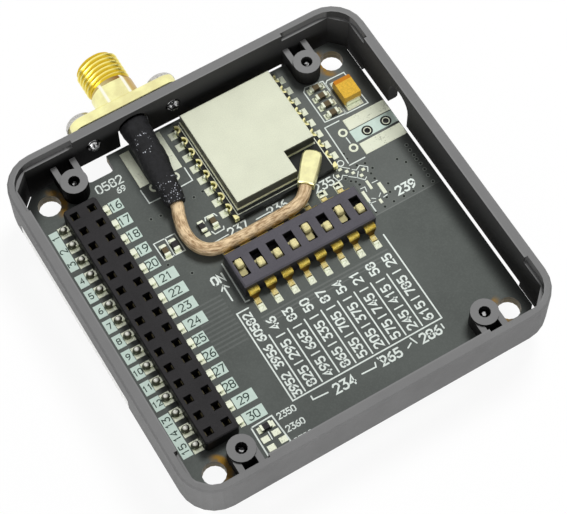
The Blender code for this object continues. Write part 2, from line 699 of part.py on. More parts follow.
def make_switch(surface, parent):
    """Switch housing with one channel and one window for each knob."""
    half_x = SWITCH_PITCH * (SWITCH_COUNT - 1) / 2 + SWITCH_END
    half_y = SWITCH_DEPTH / 2
    top = SWITCH_HEIGHT - SEAT_GAP
    bm = bmesh.new()
    full = rectangle(-half_x, half_x, -half_y, half_y)
    edge = SWITCH_EDGE_BREAK
    small = rectangle(-half_x + edge, half_x - edge, -half_y + edge, half_y - edge)
    loft(bm, (levels(full, 0), levels(full, top - edge), levels(small, top)))
    body = put("dip_base", mesh_from("dip_base", bm, surface), parent, (0, 0, SEAT_GAP))

    # Channels for the feet, closed above by the top plate
    window = KNOB_TRAVEL / 2 + KNOB_LENGTH / 2 + KNOB_END_PLAY
    channel_back = KNOB_TRAVEL / 2 + KNOB_LENGTH / 2 + FOOT_LIP + KNOB_END_PLAY
    channel_front = KNOB_TRAVEL / 2 + KNOB_LENGTH / 2 + FOOT_TAIL + KNOB_END_PLAY
    bm = bmesh.new()
    for _, x, _ in knob_places():
        low = (x - FOOT_WIDTH / 2 - FOOT_PLAY, -channel_front, SWITCH_FLOOR - SEAT_GAP)
        high = (x + FOOT_WIDTH / 2 + FOOT_PLAY, channel_back, top - SWITCH_TOP_PLATE)
        box(bm, low, high)
    tool_for(body, "DIFFERENCE", bm)

    bm = bmesh.new()
    for _, x, _ in knob_places():
        half = KNOB_WIDTH / 2 + KNOB_PLAY
        low = (x - half, -window, top - SWITCH_TOP_PLATE - SWITCH_PLATE_OVERLAP)
        box(bm, low, (x + half, window, top + OVERCUT))
    tool_for(body, "DIFFERENCE", bm)

    # Pockets in both long sides hold the pins' roots
    bm = bmesh.new()
    for _, x, _ in knob_places():
        half = SWITCH_PIN_WIDTH / 2 + FIT_GAP
        low = SWITCH_PIN_LEVEL - SEAT_GAP - FIT_GAP
        high = SWITCH_PIN_LEVEL - SEAT_GAP + SWITCH_PIN_THICKNESS + FIT_GAP
        for side in (1, -1):
            along = sorted((side * (half_y - SWITCH_PIN_DEPTH), side * (half_y + OVERCUT)))
            box(bm, (x - half, along[0], low), (x + half, along[1], high))
    tool_for(body, "DIFFERENCE", bm)


def make_knobs(surface, parent):
    """Sliding knobs, each with a wider foot that the top plate keeps in."""
    top = SWITCH_HEIGHT
    under = top - SWITCH_TOP_PLATE - FOOT_PLAY
    floor = SWITCH_FLOOR + FOOT_PLAY
    half_x = KNOB_WIDTH / 2
    half_y = KNOB_LENGTH / 2
    shape = rounded(half_x, half_y, KNOB_CORNER, KNOB_CORNER_STEPS)
    crown = KNOB_CROWN
    inset = KNOB_CROWN_INSET
    cap = rounded(half_x - inset, half_y - inset, KNOB_CORNER - inset / 2, KNOB_CORNER_STEPS)
    shoulder = rounded(half_x - inset / 4, half_y - inset / 4, KNOB_CORNER, KNOB_CORNER_STEPS)

    # Wings under the top plate beside the knob, and a tail as wide as the knob towards the front
    wing = FOOT_WIDTH / 2
    tail = half_y + FOOT_TAIL
    edge = FOOT_TAIL_EDGE
    wings = rounded(wing, half_y + FOOT_LIP, KNOB_CORNER, KNOB_CORNER_STEPS)[: 2 * (KNOB_CORNER_STEPS + 1)]
    foot = [
        *wings,
        (-wing, -half_y),
        (-half_x, -half_y),
        (-half_x, -tail + edge),
        (-half_x + edge, -tail),
        (half_x - edge, -tail),
        (half_x, -tail + edge),
        (half_x, -half_y),
        (wing, -half_y),
    ]
    bm = bmesh.new()
    loft(
        bm,
        (
            levels(shape, floor),
            levels(shape, under - FOOT_THICKNESS),
            levels(foot, under - FOOT_THICKNESS),
            levels(foot, under),
            levels(shape, under),
            levels(shape, top + KNOB_RISE - crown),
            levels(shoulder, top + KNOB_RISE - crown / 3),
            levels(cap, top + KNOB_RISE),
        ),
    )
    mesh = mesh_from("dip_slider", bm, surface)
    for number, x, raised in knob_places():
        y = KNOB_TRAVEL / 2 if raised else -KNOB_TRAVEL / 2
        put(f"dip_slider_{number}", mesh, parent, (x, y, 0))


def make_switch_pins(surface, parent):
    """Gull-wing pins, broad at the shoulder and narrow at the foot."""
    thick = SWITCH_PIN_THICKNESS
    root = SWITCH_DEPTH / 2 - SWITCH_PIN_DEPTH + FIT_GAP
    knee = SWITCH_DEPTH / 2 + SWITCH_PIN_BEND
    ankle = knee + SWITCH_PIN_SPLAY
    end = SWITCH_DEPTH / 2 + SWITCH_PIN_REACH
    shoulder = SWITCH_PIN_LEVEL
    wide = SWITCH_PIN_WIDTH / 2
    narrow = SWITCH_PIN_FOOT_WIDTH / 2
    # Each station holds half width, then reach and level of the upper and of the lower face
    stations = (
        (wide, root, shoulder + thick, root, shoulder),
        (wide, knee - 0.2, shoulder + thick, knee - 0.28, shoulder),
        (wide, knee, shoulder, knee - thick, shoulder - 0.12),
        (wide, (3 * knee + ankle) / 4, shoulder - 0.45, (3 * knee + ankle) / 4 - thick, shoulder - 0.45),
        (narrow, (knee + 3 * ankle) / 4, shoulder - 1.05, (knee + 3 * ankle) / 4 - thick, shoulder - 1.05),
        (narrow, ankle + 0.1, SOLDER_GAP + thick, ankle - thick * 0.6, SOLDER_GAP + 0.1),
        (narrow, ankle + 0.3, SOLDER_GAP + thick, ankle + 0.15, SOLDER_GAP),
        (narrow, end, SOLDER_GAP + thick, end, SOLDER_GAP),
    )
    bm = bmesh.new()
    loops = []
    for half, upper, upper_level, lower, lower_level in stations:
        loops.append(
            (
                (-half, upper, upper_level),
                (half, upper, upper_level),
                (half, lower, lower_level),
                (-half, lower, lower_level),
            )
        )
    loft(bm, loops)
    mesh = mesh_from("dip_pin", bm, surface)
    for number, x, _ in knob_places():
        put(f"dip_pin_{number}", mesh, parent, (x, 0, 0), 180)
        put(f"dip_pin_{2 * SWITCH_COUNT + 1 - number}", mesh, parent, (x, 0, 0))


def radio_outline():
    """Board outline with half-round plated cuts along both side edges."""
    half_x = RADIO_WIDTH / 2
    half_y = RADIO_LENGTH / 2
    points = []
    for side in (1, -1):
        points.append((side * half_x, -side * half_y))
        for number in range(RADIO_PAD_COUNT):
            count = number if side > 0 else RADIO_PAD_COUNT - 1 - number
            centre = -half_y + RADIO_PAD_FRONT + count * RADIO_PAD_PITCH
            for step in range(5):
                angle = math.radians(-90 + 45 * step)
                x = side * (half_x - RADIO_PAD_RADIUS * math.cos(angle))
                points.append((x, centre + side * RADIO_PAD_RADIUS * math.sin(angle)))
        points.append((side * half_x, side * half_y))
    return points


def make_radio(board_surface, can_surface, parent):
    """Radio board soldered flat on the main board, and the closed can on top of it."""
    bm = bmesh.new()
    prism(bm, radio_outline(), 0, RADIO_THICKNESS)
    place = (RADIO_CENTRE_X, RADIO_CENTRE_Y, BOARD_TOP + SEAT_GAP)
    put("radio_board", mesh_from("radio_board", bm, board_surface), parent, place)

    right = RADIO_WIDTH / 2 - CAN_SIDE_MARGIN
    front = -RADIO_LENGTH / 2 + CAN_FRONT_MARGIN
    back = RADIO_LENGTH / 2 - CAN_BACK_MARGIN

    def outline(edge):
        notch_x = right - CAN_NOTCH_WIDTH - edge
        notch_y = front + CAN_NOTCH_DEPTH + edge
        return [
            (right - edge, notch_y),
            (right - edge, back - edge),
            (-right + edge, back - edge),
            (-right + edge, front + edge),
            (notch_x, front + edge),
            (notch_x, notch_y),
        ]

    bm = bmesh.new()
    top = CAN_HEIGHT - FIT_GAP
    loft(
        bm,
        (
            levels(outline(0), 0),
            levels(outline(0), top - CAN_EDGE_BREAK),
            levels(outline(CAN_EDGE_BREAK * 0.3), top - CAN_EDGE_BREAK * 0.3),
            levels(outline(CAN_EDGE_BREAK), top),
        ),
    )
    place = (RADIO_CENTRE_X, RADIO_CENTRE_Y, RADIO_TOP + FIT_GAP)
    put("radio_can", mesh_from("radio_can", bm, can_surface), parent, place)


def make_coax_plug(base_surface, plug_surface, parent):
    """Receptacle with a round post, and the angled plug that sits over it."""
    bm = bmesh.new()
    steps = 4
    side = rounded(RECEPTACLE_SIDE / 2, RECEPTACLE_SIDE / 2, 0.3, steps)
    post = rounded(RECEPTACLE_POST_RADIUS, RECEPTACLE_POST_RADIUS, RECEPTACLE_POST_RADIUS - 0.01, steps)
    top = RECEPTACLE_BASE + RECEPTACLE_POST_HEIGHT
    base = RECEPTACLE_BASE
    loft(bm, (levels(side, 0), levels(side, base), levels(post, base), levels(post, top)))
    place = (COAX_HEAD_X, COAX_HEAD_Y, RADIO_TOP + SOLDER_GAP)
    mesh = mesh_from("coax_receptacle", bm, base_surface, 40)
    put("coax_receptacle", mesh, parent, place, COAX_HEADING)

    def outline(edge):
        head = COAX_PLUG_HEAD - edge
        tail = COAX_PLUG_TAIL_WIDTH / 2 - edge
        end = COAX_PLUG_TAIL - edge
        return [
            (end, -tail),
            (end, tail),
            (COAX_PLUG_HEAD * 0.7, head),
            (-head * 0.4, head),
            (-head * 0.85, head * 0.8),
            (-head, head * 0.35),
            (-head, -head * 0.35),
            (-head * 0.85, -head * 0.8),
            (-head * 0.4, -head),
            (COAX_PLUG_HEAD * 0.7, -head),
        ]

    bm = bmesh.new()
    edge = COAX_PLUG_EDGE_BREAK
    height = COAX_PLUG_HEIGHT
    loft(bm, (levels(outline(0), 0), levels(outline(0), height - edge), levels(outline(edge), height)))
    place = (COAX_HEAD_X, COAX_HEAD_Y, COAX_PLUG_BOTTOM)
    mesh = mesh_from("coax_plug", bm, plug_surface)
    plug = put("coax_plug", mesh, parent, place, COAX_HEADING)
    bm = bmesh.new()
    depth = RECEPTACLE_POST_HEIGHT - FIT_GAP + SOLDER_GAP
    prism(bm, circle(RECEPTACLE_POST_RADIUS + SOLDER_GAP, 16), -OVERCUT, depth)
    tool_for(plug, "DIFFERENCE", bm)


def smooth_line(route, spacing):
    """Evenly spaced points, with their distance along it, on a smooth curve through a route."""
    route = [Vector(point) for point in route]
    ends = [2 * route[0] - route[1], *route, 2 * route[-1] - route[-2]]
    fine = []
    for a, b, c, d in zip(ends, ends[1:], ends[2:], ends[3:]):
        for step in range(24):
            t = step / 24
            bend = 2 * a - 5 * b + 4 * c - d
            twist = 3 * b - a - 3 * c + d
            fine.append(b + 0.5 * (t * (c - a) + t * t * bend + t * t * t * twist))
    fine.append(route[-1])
    reach = [0.0]
    for here, after in zip(fine, fine[1:]):
        reach.append(reach[-1] + (after - here).length)
    count = max(2, round(reach[-1] / spacing))
    points = []
    for number in range(count + 1):
        target = reach[-1] * number / count
        index = next(i for i, value in enumerate(reach) if value >= target - 1e-9)
        if index == 0:
            points.append((0.0, fine[0]))
            continue
        share = (target - reach[index - 1]) / (reach[index] - reach[index - 1])
        points.append((target, fine[index - 1].lerp(fine[index], share)))
    return points


def make_lead(surface, parent):
    """Coaxial lead from inside the sleeve to the coaxial plug."""
    points = [point for reach, point in smooth_line(LEAD_ROUTE, LEAD_SPACING) if reach >= LEAD_START]
    curve = bpy.data.curves.new("coax_lead", "CURVE")
    curve.dimensions = "3D"
    curve.bevel_depth = LEAD_RADIUS * MM
    curve.bevel_resolution = 2
    curve.use_fill_caps = True
    spline = curve.splines.new("POLY")
    spline.points.add(len(points) - 1)
    for target, point in zip(spline.points, points):
        target.co = (*(point * MM), 1.0)
    curve.materials.append(surface)
    put("coax_lead", curve, parent)


def make_sleeve(surface, parent):
    """Shrunk sleeve that narrows from the connector's tail to the bare lead."""
    line = [(reach, p) for reach, p in smooth_line(LEAD_ROUTE, SLEEVE_SPACING) if reach <= SLEEVE_LENGTH]
    bore = LEAD_RADIUS + FIT_GAP
    outer = []
    inner = []
    for number, (reach, centre) in enumerate(line):
        before = line[max(number - 1, 0)][1]
        after = line[min(number + 1, len(line) - 1)][1]
        along = (after - before).normalized()
        side = along.cross(Vector((0, 0, 1))).normalized()
        up = side.cross(along)
        share = reach / line[-1][0] * (len(SLEEVE_RADII) - 1)
        low = min(int(share), len(SLEEVE_RADII) - 2)
        radius = SLEEVE_RADII[low] + (SLEEVE_RADII[low + 1] - SLEEVE_RADII[low]) * (share - low)
        for loops, size in ((outer, radius), (inner, bore)):
            ring = circle(size, SLEEVE_SIDES)
            loops.append([centre + side * u + up * v for u, v in ring])
    bm = bmesh.new()
    loft(bm, outer + inner[::-1], ring=True)
    put("heat_shrink", mesh_from("heat_shrink", bm, surface, 40), parent)


def make_connector(surface, white, parent):
    """Threaded coaxial connector with a two-hole flange, its insulator and its contact."""
    steps = 24
    tip = FLANGE_THICKNESS + BARREL_BASE + BARREL_RELIEF + BARREL_THREAD
    relief = FLANGE_THICKNESS + BARREL_BASE
    profile = (
        (0, -FRAME_WALL),
        (SPIGOT_RADIUS, -FRAME_WALL),
        (SPIGOT_RADIUS, FLANGE_THICKNESS * 0.4),
        (BARREL_RADIUS, FLANGE_THICKNESS * 0.4),
        (BARREL_RADIUS, relief),
        (BARREL_RADIUS - BARREL_RELIEF_DEPTH, relief + 0.05),
        (BARREL_RADIUS - BARREL_RELIEF_DEPTH, relief + BARREL_RELIEF - 0.05),
        (BARREL_RADIUS, relief + BARREL_RELIEF),
        (BARREL_RADIUS, tip - BARREL_TIP_CHAMFER),
        (BARREL_RADIUS - BARREL_TIP_CHAMFER, tip),
        (0, tip),
    )
    bm = bmesh.new()
    turned(bm, profile, steps)
    mesh = mesh_from("antenna_connector", bm, surface, 35)
    place = (CONNECTOR_X, OUTER_HALF + FLANGE_SEAT, CONNECTOR_Z)
    body = put("antenna_connector", mesh, parent, place)

    # Flats above and below keep the barrel's base inside the flange's width
    flat = FLANGE_WIDTH / 2 - BARREL_FLAT_DROP
    bm = bmesh.new()
    reach = BARREL_RADIUS + OVERCUT
    for low, high in ((flat, reach), (-reach, -flat)):
        box(bm, (-reach, FLANGE_THICKNESS * 0.2, low), (reach, relief - BARREL_FLAT_STOP, high))
    tool_for(body, "DIFFERENCE", bm)

    bm = bmesh.new()
    outline = rounded(FLANGE_LENGTH / 2, FLANGE_WIDTH / 2, FLANGE_CORNER, 5)
    prism(bm, outline, 0, FLANGE_THICKNESS, "y")
    tool_for(body, "UNION", bm)

    bm = bmesh.new()
    bore = (
        (0, -FRAME_WALL - OVERCUT),
        (TAIL_HOLE_RADIUS, -FRAME_WALL - OVERCUT),
        (TAIL_HOLE_RADIUS, BORE_FLOOR),
        (BORE_RADIUS, BORE_FLOOR),
        (BORE_RADIUS, tip - MOUTH_DEPTH),
        (MOUTH_RADIUS, tip - MOUTH_DEPTH),
        (MOUTH_RADIUS, tip + OVERCUT),
        (0, tip + OVERCUT),
    )
    turned(bm, bore, 20)
    for sign in (1, -1):
        centre = (sign * FLANGE_SCREW_SPACING / 2, 0)
        hole = circle(FLANGE_SCREW_RADIUS + FLANGE_SCREW_PLAY, 12, centre)
        prism(bm, hole, -OVERCUT, FLANGE_THICKNESS + OVERCUT, "y")
    tool_for(body, "DIFFERENCE", bm)

    inner_end = tip - MOUTH_DEPTH - FIT_GAP
    bm = bmesh.new()
    sleeve = (
        (CONTACT_RADIUS + FIT_GAP, BORE_FLOOR + FIT_GAP),
        (BORE_RADIUS - FIT_GAP, BORE_FLOOR + FIT_GAP),
        (BORE_RADIUS - FIT_GAP, inner_end),
        (CONTACT_RADIUS + FIT_GAP, inner_end),
        (CONTACT_RADIUS + FIT_GAP, BORE_FLOOR + FIT_GAP),
    )
    turned(bm, sleeve, 16)
    put("connector_insulator", mesh_from("connector_insulator", bm, white, 35), parent, place)

    bm = bmesh.new()
    contact = (
        (0, -CONTACT_TAIL_LENGTH),
        (CONTACT_TAIL_RADIUS, -CONTACT_TAIL_LENGTH),
        (CONTACT_TAIL_RADIUS, BORE_FLOOR + FIT_GAP),
        (CONTACT_RADIUS, BORE_FLOOR + FIT_GAP),
        (CONTACT_RADIUS, inner_end),
        (CONTACT_HOLE_RADIUS, inner_end),
        (CONTACT_HOLE_RADIUS, inner_end - CONTACT_HOLE_DEPTH),
        (0, inner_end - CONTACT_HOLE_DEPTH),
    )
    turned(bm, contact, 12)
    put("connector_contact", mesh_from("connector_contact", bm, surface, 35), parent, place)


def make_flange_screws(surface, parent):
    """Domed screws through the flange and the wall."""
    radius = FLANGE_SCREW_HEAD_RADIUS
    height = FLANGE_SCREW_HEAD_HEIGHT
    profile = [(0, height)]
    for degrees in (30, 60, 85):
        angle = math.radians(degrees)
        crown = FLANGE_SCREW_RIM + (height - FLANGE_SCREW_RIM) * math.cos(angle)
        profile.append((radius * math.sin(angle), crown))
    profile += [
        (radius, FLANGE_SCREW_RIM),
        (radius, 0),
        (FLANGE_SCREW_RADIUS, 0),
        (FLANGE_SCREW_RADIUS, -FLANGE_SCREW_REACH + 0.3),
        (FLANGE_SCREW_RADIUS * 0.6, -FLANGE_SCREW_REACH),
        (0, -FLANGE_SCREW_REACH),
    ]
    bm = bmesh.new()
    turned(bm, profile, 14)
    mesh = mesh_from("flange_screw", bm, surface, 40)
    for number, sign in enumerate((-1, 1), 1):
        x = CONNECTOR_X + sign * FLANGE_SCREW_SPACING / 2
        y = OUTER_HALF + FLANGE_SEAT + FLANGE_THICKNESS + SOLDER_GAP
        put(f"flange_screw_{number}", mesh, parent, (x, y, CONNECTOR_Z))


def make_tantalum(surface, parent):
    """Moulded capacitor, widest at its parting line, with a terminal at each end."""
    half_x = TANTALUM_WIDTH / 2
    half_y = TANTALUM_LENGTH / 2
    draft = TANTALUM_DRAFT
    middle = TANTALUM_HEIGHT * 0.45
    wide = rounded(half_x, half_y, 0.1, 1)
    narrow = rounded(half_x - draft, half_y - draft, 0.1, 1)
    bm = bmesh.new()
    loft(bm, (levels(narrow, 0), levels(wide, middle), levels(narrow, TANTALUM_HEIGHT - SOLDER_GAP)))
    place = (BOARD_HALF - TANTALUM_INSET_X, TANTALUM_Y, BOARD_TOP + SOLDER_GAP)
    body = put("tantalum_capacitor", mesh_from("tantalum_capacitor", bm, surface), parent, place)
    bm = bmesh.new()
    for side in (1, -1):
        along = sorted((side * (half_y - TERMINAL_ROOT), side * (half_y + TERMINAL_REACH)))
        box(bm, (-half_x * 0.75, along[0], TERMINAL_RISE), (half_x * 0.75, along[1], middle * 0.9))
    tool_for(body, "UNION", bm)


def make_chips(surface, parent):
    """Small ceramic parts, each with a metal cap on both ends."""
    half = CHIP_LENGTH / 2
    cap = half - CHIP_CAP
    step = CHIP_CAP_STEP
    height = CHIP_HEIGHT
    side = CHIP_WIDTH / 2
    ends = ((-half, step), (-half + step, 0), (-cap, 0), (-cap, step))
    bm = bmesh.new()
    loops = []
    for x, edge in ends + tuple((-x, edge) for x, edge in reversed(ends)):
        outline = rectangle(-side + edge, side - edge, edge, height - edge)
        loops.append([(x, y, z) for y, z in outline])
    loft(bm, loops)
    mesh = mesh_from("chip", bm, surface)
    row_x = BOARD_HALF - CHIP_ROW_INSET_X
    first = CHIP_ROW_PITCH * (CHIP_ROW_COUNT - 1) / 2
    row = [(row_x, CHIP_ROW_Y + first - CHIP_ROW_PITCH * number, 0) for number in range(CHIP_ROW_COUNT)]
    for number, (x, y, turn) in enumerate(row + list(SINGLE_CHIPS), 1):
        put(f"chip_{number}", mesh, parent, (x, y, BOARD_TOP + SOLDER_GAP), turn)


def main():
    for old in list(bpy.data.objects):
        bpy.data.objects.remove(old, do_unlink=True)

    grey = material("frame_plastic", (0.2, 0.2, 0.21), 0.0, 0.55)
    mask = material("solder_mask", (0.09, 0.1, 0.09), 0.0, 0.45)
    black = material("header_plastic", (0.05, 0.05, 0.055), 0.0, 0.5)
    switch = material("switch_plastic", (0.07, 0.07, 0.08), 0.0, 0.5)
    cream = material("knob_plastic", (0.75, 0.68, 0.38), 0.0, 0.45)
    tin = material("tinned_metal", (0.6, 0.5, 0.25), 1.0, 0.35)
    green = material("radio_mask", (0.1, 0.11, 0.1), 0.0, 0.45)
    ivory = material("can_metal", (0.75, 0.73, 0.6), 0.6, 0.4)
    gold = material("gold_plate", (0.85, 0.65, 0.2), 1.0, 0.28)
    steel = material("screw_steel", (0.6, 0.6, 0.58), 1.0, 0.35)
    sleeve = material("sleeve_plastic", (0.03, 0.03, 0.03), 0.0, 0.5)
    tan = material("lead_jacket", (0.6, 0.38, 0.22), 0.0, 0.4)
    white = material("insulator_plastic", (0.85, 0.85, 0.82), 0.0, 0.5)
    amber = material("capacitor_resin", (0.7, 0.38, 0.05), 0.0, 0.45)
    ceramic = material("chip_ceramic", (0.45, 0.38, 0.28), 0.0, 0.5)
    paper = material("label_film", (0.75, 0.75, 0.74), 0.0, 0.6)

    module = put("module", None, None, MODULE_PLACE)
    switch_centre = put("dip_switch", None, module, (SWITCH_CENTRE_X, SWITCH_CENTRE_Y, BOARD_TOP))
    make_frame(grey, module)
    make_label(paper, module)
    make_board(mask, module)
    make_board_screws(steel, module)
    make_bus_socket(black, module)
    make_bus_plug(black, module)
    make_switch(switch, switch_centre)
    make_knobs(cream, switch_centre)
    make_switch_pins(tin, switch_centre)
    make_radio(green, ivory, module)
    make_coax_plug(gold, gold, module)
    make_lead(tan, module)
    make_sleeve(sleeve, module)
    make_connector(gold, white, module)
    make_flange_screws(steel, module)
    make_tantalum(amber, module)
    make_chips(ceramic, module)


main()
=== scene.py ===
"""Finishes, prints and small fittings of a stacking radio module, laid out as a Blender add-on.

Every length is in millimetres about the middle of the board's underside. HOME carries that point to
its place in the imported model, and MM turns millimetres into metres.
"""

import math

import bmesh
import bpy
from mathutils import Matrix, Vector, noise


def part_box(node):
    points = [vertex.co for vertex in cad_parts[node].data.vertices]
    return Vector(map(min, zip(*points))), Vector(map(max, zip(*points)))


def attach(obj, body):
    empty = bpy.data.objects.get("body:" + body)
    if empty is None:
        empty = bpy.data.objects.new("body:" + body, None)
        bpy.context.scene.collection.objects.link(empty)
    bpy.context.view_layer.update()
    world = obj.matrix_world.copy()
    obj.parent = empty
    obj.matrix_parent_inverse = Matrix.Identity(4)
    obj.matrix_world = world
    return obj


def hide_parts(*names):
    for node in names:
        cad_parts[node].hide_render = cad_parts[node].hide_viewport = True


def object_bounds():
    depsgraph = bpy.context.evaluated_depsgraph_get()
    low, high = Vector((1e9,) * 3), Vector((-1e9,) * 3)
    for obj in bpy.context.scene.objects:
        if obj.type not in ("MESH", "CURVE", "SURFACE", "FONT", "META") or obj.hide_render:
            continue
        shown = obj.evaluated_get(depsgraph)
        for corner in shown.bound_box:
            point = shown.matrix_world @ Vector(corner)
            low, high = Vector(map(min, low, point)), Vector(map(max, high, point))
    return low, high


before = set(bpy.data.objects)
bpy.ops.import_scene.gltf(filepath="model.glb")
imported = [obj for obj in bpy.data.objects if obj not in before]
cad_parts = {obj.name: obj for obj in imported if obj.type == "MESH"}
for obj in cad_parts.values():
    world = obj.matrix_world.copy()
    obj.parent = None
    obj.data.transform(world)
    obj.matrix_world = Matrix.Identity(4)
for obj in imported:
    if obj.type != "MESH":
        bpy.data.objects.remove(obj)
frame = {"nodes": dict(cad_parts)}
cad_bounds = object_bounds()

bl_info = {
    "name": "Stacking radio module",
    "version": (1, 0, 0),
    "blender": (4, 5, 0),
    "location": "View3D > Sidebar > Radio module",
    "description": "Finishes, prints and small fittings for a stacking radio module",
    "category": "Object",
}

MM = 0.001
BOARD_LOW, BOARD_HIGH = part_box("circuit_board")
HOME = Vector(((BOARD_LOW.x + BOARD_HIGH.x) / 2, (BOARD_LOW.y + BOARD_HIGH.y) / 2, BOARD_LOW.z))
BOARD_TOP = (BOARD_HIGH.z - BOARD_LOW.z) / MM
PAD_TOP = BOARD_TOP + 0.05
PRINT_TOP = BOARD_TOP + 0.03

PITCH = 2.54
PIN_ROWS = [17.66 - PITCH * number for number in range(15)]
SOCKET_X = -19.15
SWITCH_Y = -0.4
KNOBS = [3.5 + (number - 3.5) * PITCH for number in range(8)]
CONNECTOR = (-7.16, 27.22, 5.0)
CONNECTOR_X, CONNECTOR_Y, CONNECTOR_Z = CONNECTOR
BARREL_RADIUS = 3.175
BARREL_FLAT = 2.73
FLANGE_SCREW_REACH = 6.11
RADIO_X = 5.9
RADIO_TOP = 2.7
COAX_PLUG = (10.79, 8.82, 4.07)
COAX_HEADING = math.radians(228)
BOSS_PLACES = ((18.11, 22.13), (-18.11, 22.13), (-18.11, -22.13), (18.11, -22.13))
CORNER_HOLE = 22.19
CAPACITOR_X, CAPACITOR_Y = 21.2, 16.6
CHIP_ROW_X = 17.9
TAG_EDGE = -15.35
CORNERS = ((-1, -1), (1, -1), (1, 1), (-1, 1))

# Where the camera stands about HOME, the three directions of its picture, and its optics
CAMERA_PLACE = Vector((-56.61, -101.61, 233.35))
CAMERA_ACROSS = Vector((0.8594, -0.5111, -0.0133))
CAMERA_DOWN = Vector((-0.4623, -0.7658, -0.447))
CAMERA_AHEAD = Vector((0.2183, 0.3903, -0.8944))
SENSOR_WIDTH, FOCAL_LENGTH = 36.0, 124.36
CAMERA_SHIFT = (0.0106, 0.0041)

# Name, place and side of each lamp, and its share of the key's power
LAMPS = (("key", (180, 110, 452), 150, 1.0), ("fill", (-330, -330, 80), 200, 0.5))
FLOOR_REACH = 900
FLOOR_GAP = 0.02

WHITE = (1.0, 1.0, 1.0)


def paint(red, green, blue):
    """Scene-linear colour from the 0 to 255 values of a screen."""
    channels = [value / 255 for value in (red, green, blue)]
    return tuple(c / 12.92 if c < 0.04045 else ((c + 0.055) / 1.055) ** 2.4 for c in channels)


def dim(base, factor):
    """Colour made darker or lighter by a factor."""
    return tuple(min(c * factor, 1.0) for c in base)


def colour(label, note, *levels):
    """Colour property with its default given in screen values."""
    note = "Colour of " + note
    return bpy.props.FloatVectorProperty(
        name=label, description=note, subtype="COLOR", min=0.0, max=1.0, default=paint(*levels)
    )


def length(label, note, default):
    """Length property in millimetres."""
    note += ", in millimetres"
    return bpy.props.FloatProperty(name=label, description=note, default=default, min=0.0)


class StageSettings(bpy.types.PropertyGroup):
    """Light and floor"""

    key_power: bpy.props.FloatProperty(
        name="Key power",
        description="Power of the soft lamp above the module",
        default=2.15,
        min=0.0,
        unit="POWER",
    )
    sky: bpy.props.FloatProperty(
        name="Sky",
        description="Strength of the even light from all round",
        default=0.22,
        min=0.0,
        subtype="FACTOR",
    )
    floor: colour("Floor", "the floor", 250, 250, 250)


class FrameSettings(bpy.types.PropertyGroup):
    """Moulded frame"""

    plastic: colour("Plastic", "the moulded frame", 116, 116, 116)
    # The inner wall colour is painted shade: the walls are the same plastic, painted darker.
    wall: colour("Inner wall", "the shaded inner walls", 68, 68, 68)
    label: colour("Label", "the blank strip on the side", 250, 250, 248)
    grain: length("Grain", "Size of the moulded grain", 0.12)


class BoardSettings(bpy.types.PropertyGroup):
    """Circuit board and its print"""

    mask: colour("Mask", "the solder mask", 84, 88, 85)
    laminate: colour("Laminate", "the bare laminate at edges and corners", 128, 108, 44)
    line: colour("Line", "the printed lines", 228, 236, 230)
    tag: colour("Tag", "the printed boxes", 203, 221, 211)
    stroke: length("Stroke", "Width of the printed lines", 0.2)


class MetalSettings(bpy.types.PropertyGroup):
    """Plated and bare metals"""

    gold: colour("Gold", "the gold plating", 255, 247, 182)
    solder: colour("Solder", "tinned pads and joints", 242, 246, 224)
    steel: colour("Steel", "the screws", 205, 203, 198)
    can: colour("Can", "the shield can", 222, 225, 203)


class PlasticSettings(bpy.types.PropertyGroup):
    """Strips, switch and small parts"""

    strip: colour("Strip", "the pin strips", 50, 49, 50)
    switch: colour("Switch", "the switch housing", 88, 86, 92)
    knob: colour("Knob", "the sliding knobs", 226, 216, 160)
    resin: colour("Resin", "the moulded capacitor", 218, 174, 62)
    ceramic: colour("Ceramic", "the small chips", 96, 84, 62)


class LeadSettings(bpy.types.PropertyGroup):
    """Coaxial lead and its sleeve"""

    jacket: colour("Jacket", "the lead's clear tan jacket", 244, 217, 174)
    braid: colour("Braid", "the braid's gaps under the jacket", 138, 102, 62)
    sleeve: colour("Sleeve", "the shrunk sleeve", 22, 22, 24)


class ConnectorSettings(bpy.types.PropertyGroup):
    """Antenna connector"""

    thread_pitch: length("Thread pitch", "Distance between two turns of the thread", 0.68)
    thread_depth: length("Thread depth", "Depth of the thread", 0.3)


class ModuleSettings(bpy.types.PropertyGroup):
    """All settings of the module"""

    stage: bpy.props.PointerProperty(type=StageSettings)
    frame: bpy.props.PointerProperty(type=FrameSettings)
    board: bpy.props.PointerProperty(type=BoardSettings)
    metal: bpy.props.PointerProperty(type=MetalSettings)
    plastic: bpy.props.PointerProperty(type=PlasticSettings)
    lead: bpy.props.PointerProperty(type=LeadSettings)
    connector: bpy.props.PointerProperty(type=ConnectorSettings)


class Value:
    """A number that a node gives, on which Python's operators add Math nodes."""

    def __init__(self, tree, socket):
        self.tree = tree
        self.socket = socket

    def maths(self, operation, *terms):
        return self.tree.node("Math", dict(enumerate(terms)), operation=operation)

    def __add__(self, other):
        return self.maths("ADD", self, other)

    __radd__ = __add__

    def __sub__(self, other):
        return self.maths("SUBTRACT", self, other)

    def __rsub__(self, other):
        return self.maths("SUBTRACT", other, self)

    def __mul__(self, other):
        return self.maths("MULTIPLY", self, other)

    __rmul__ = __mul__

    def __mod__(self, other):
        return self.maths("FLOORED_MODULO", self, other)

    def __gt__(self, other):
        return self.maths("GREATER_THAN", self, other)

    def __lt__(self, other):
        return self.maths("LESS_THAN", self, other)

    def __abs__(self):
        return self.maths("ABSOLUTE", self)

    def sine(self):
        return self.maths("SINE", self)

    def above(self, other):
        """The larger of two values."""
        return self.maths("MAXIMUM", self, other)

    def inside(self, low, high):
        """1 between two limits, 0 elsewhere."""
        return (self > low) * (self < high)

    def rise(self, low, high):
        """Goes from 0 to 1 between two limits."""
        limits = {"Value": self, "From Min": low, "From Max": high}
        return self.tree.node("MapRange", limits, interpolation_type="SMOOTHSTEP")


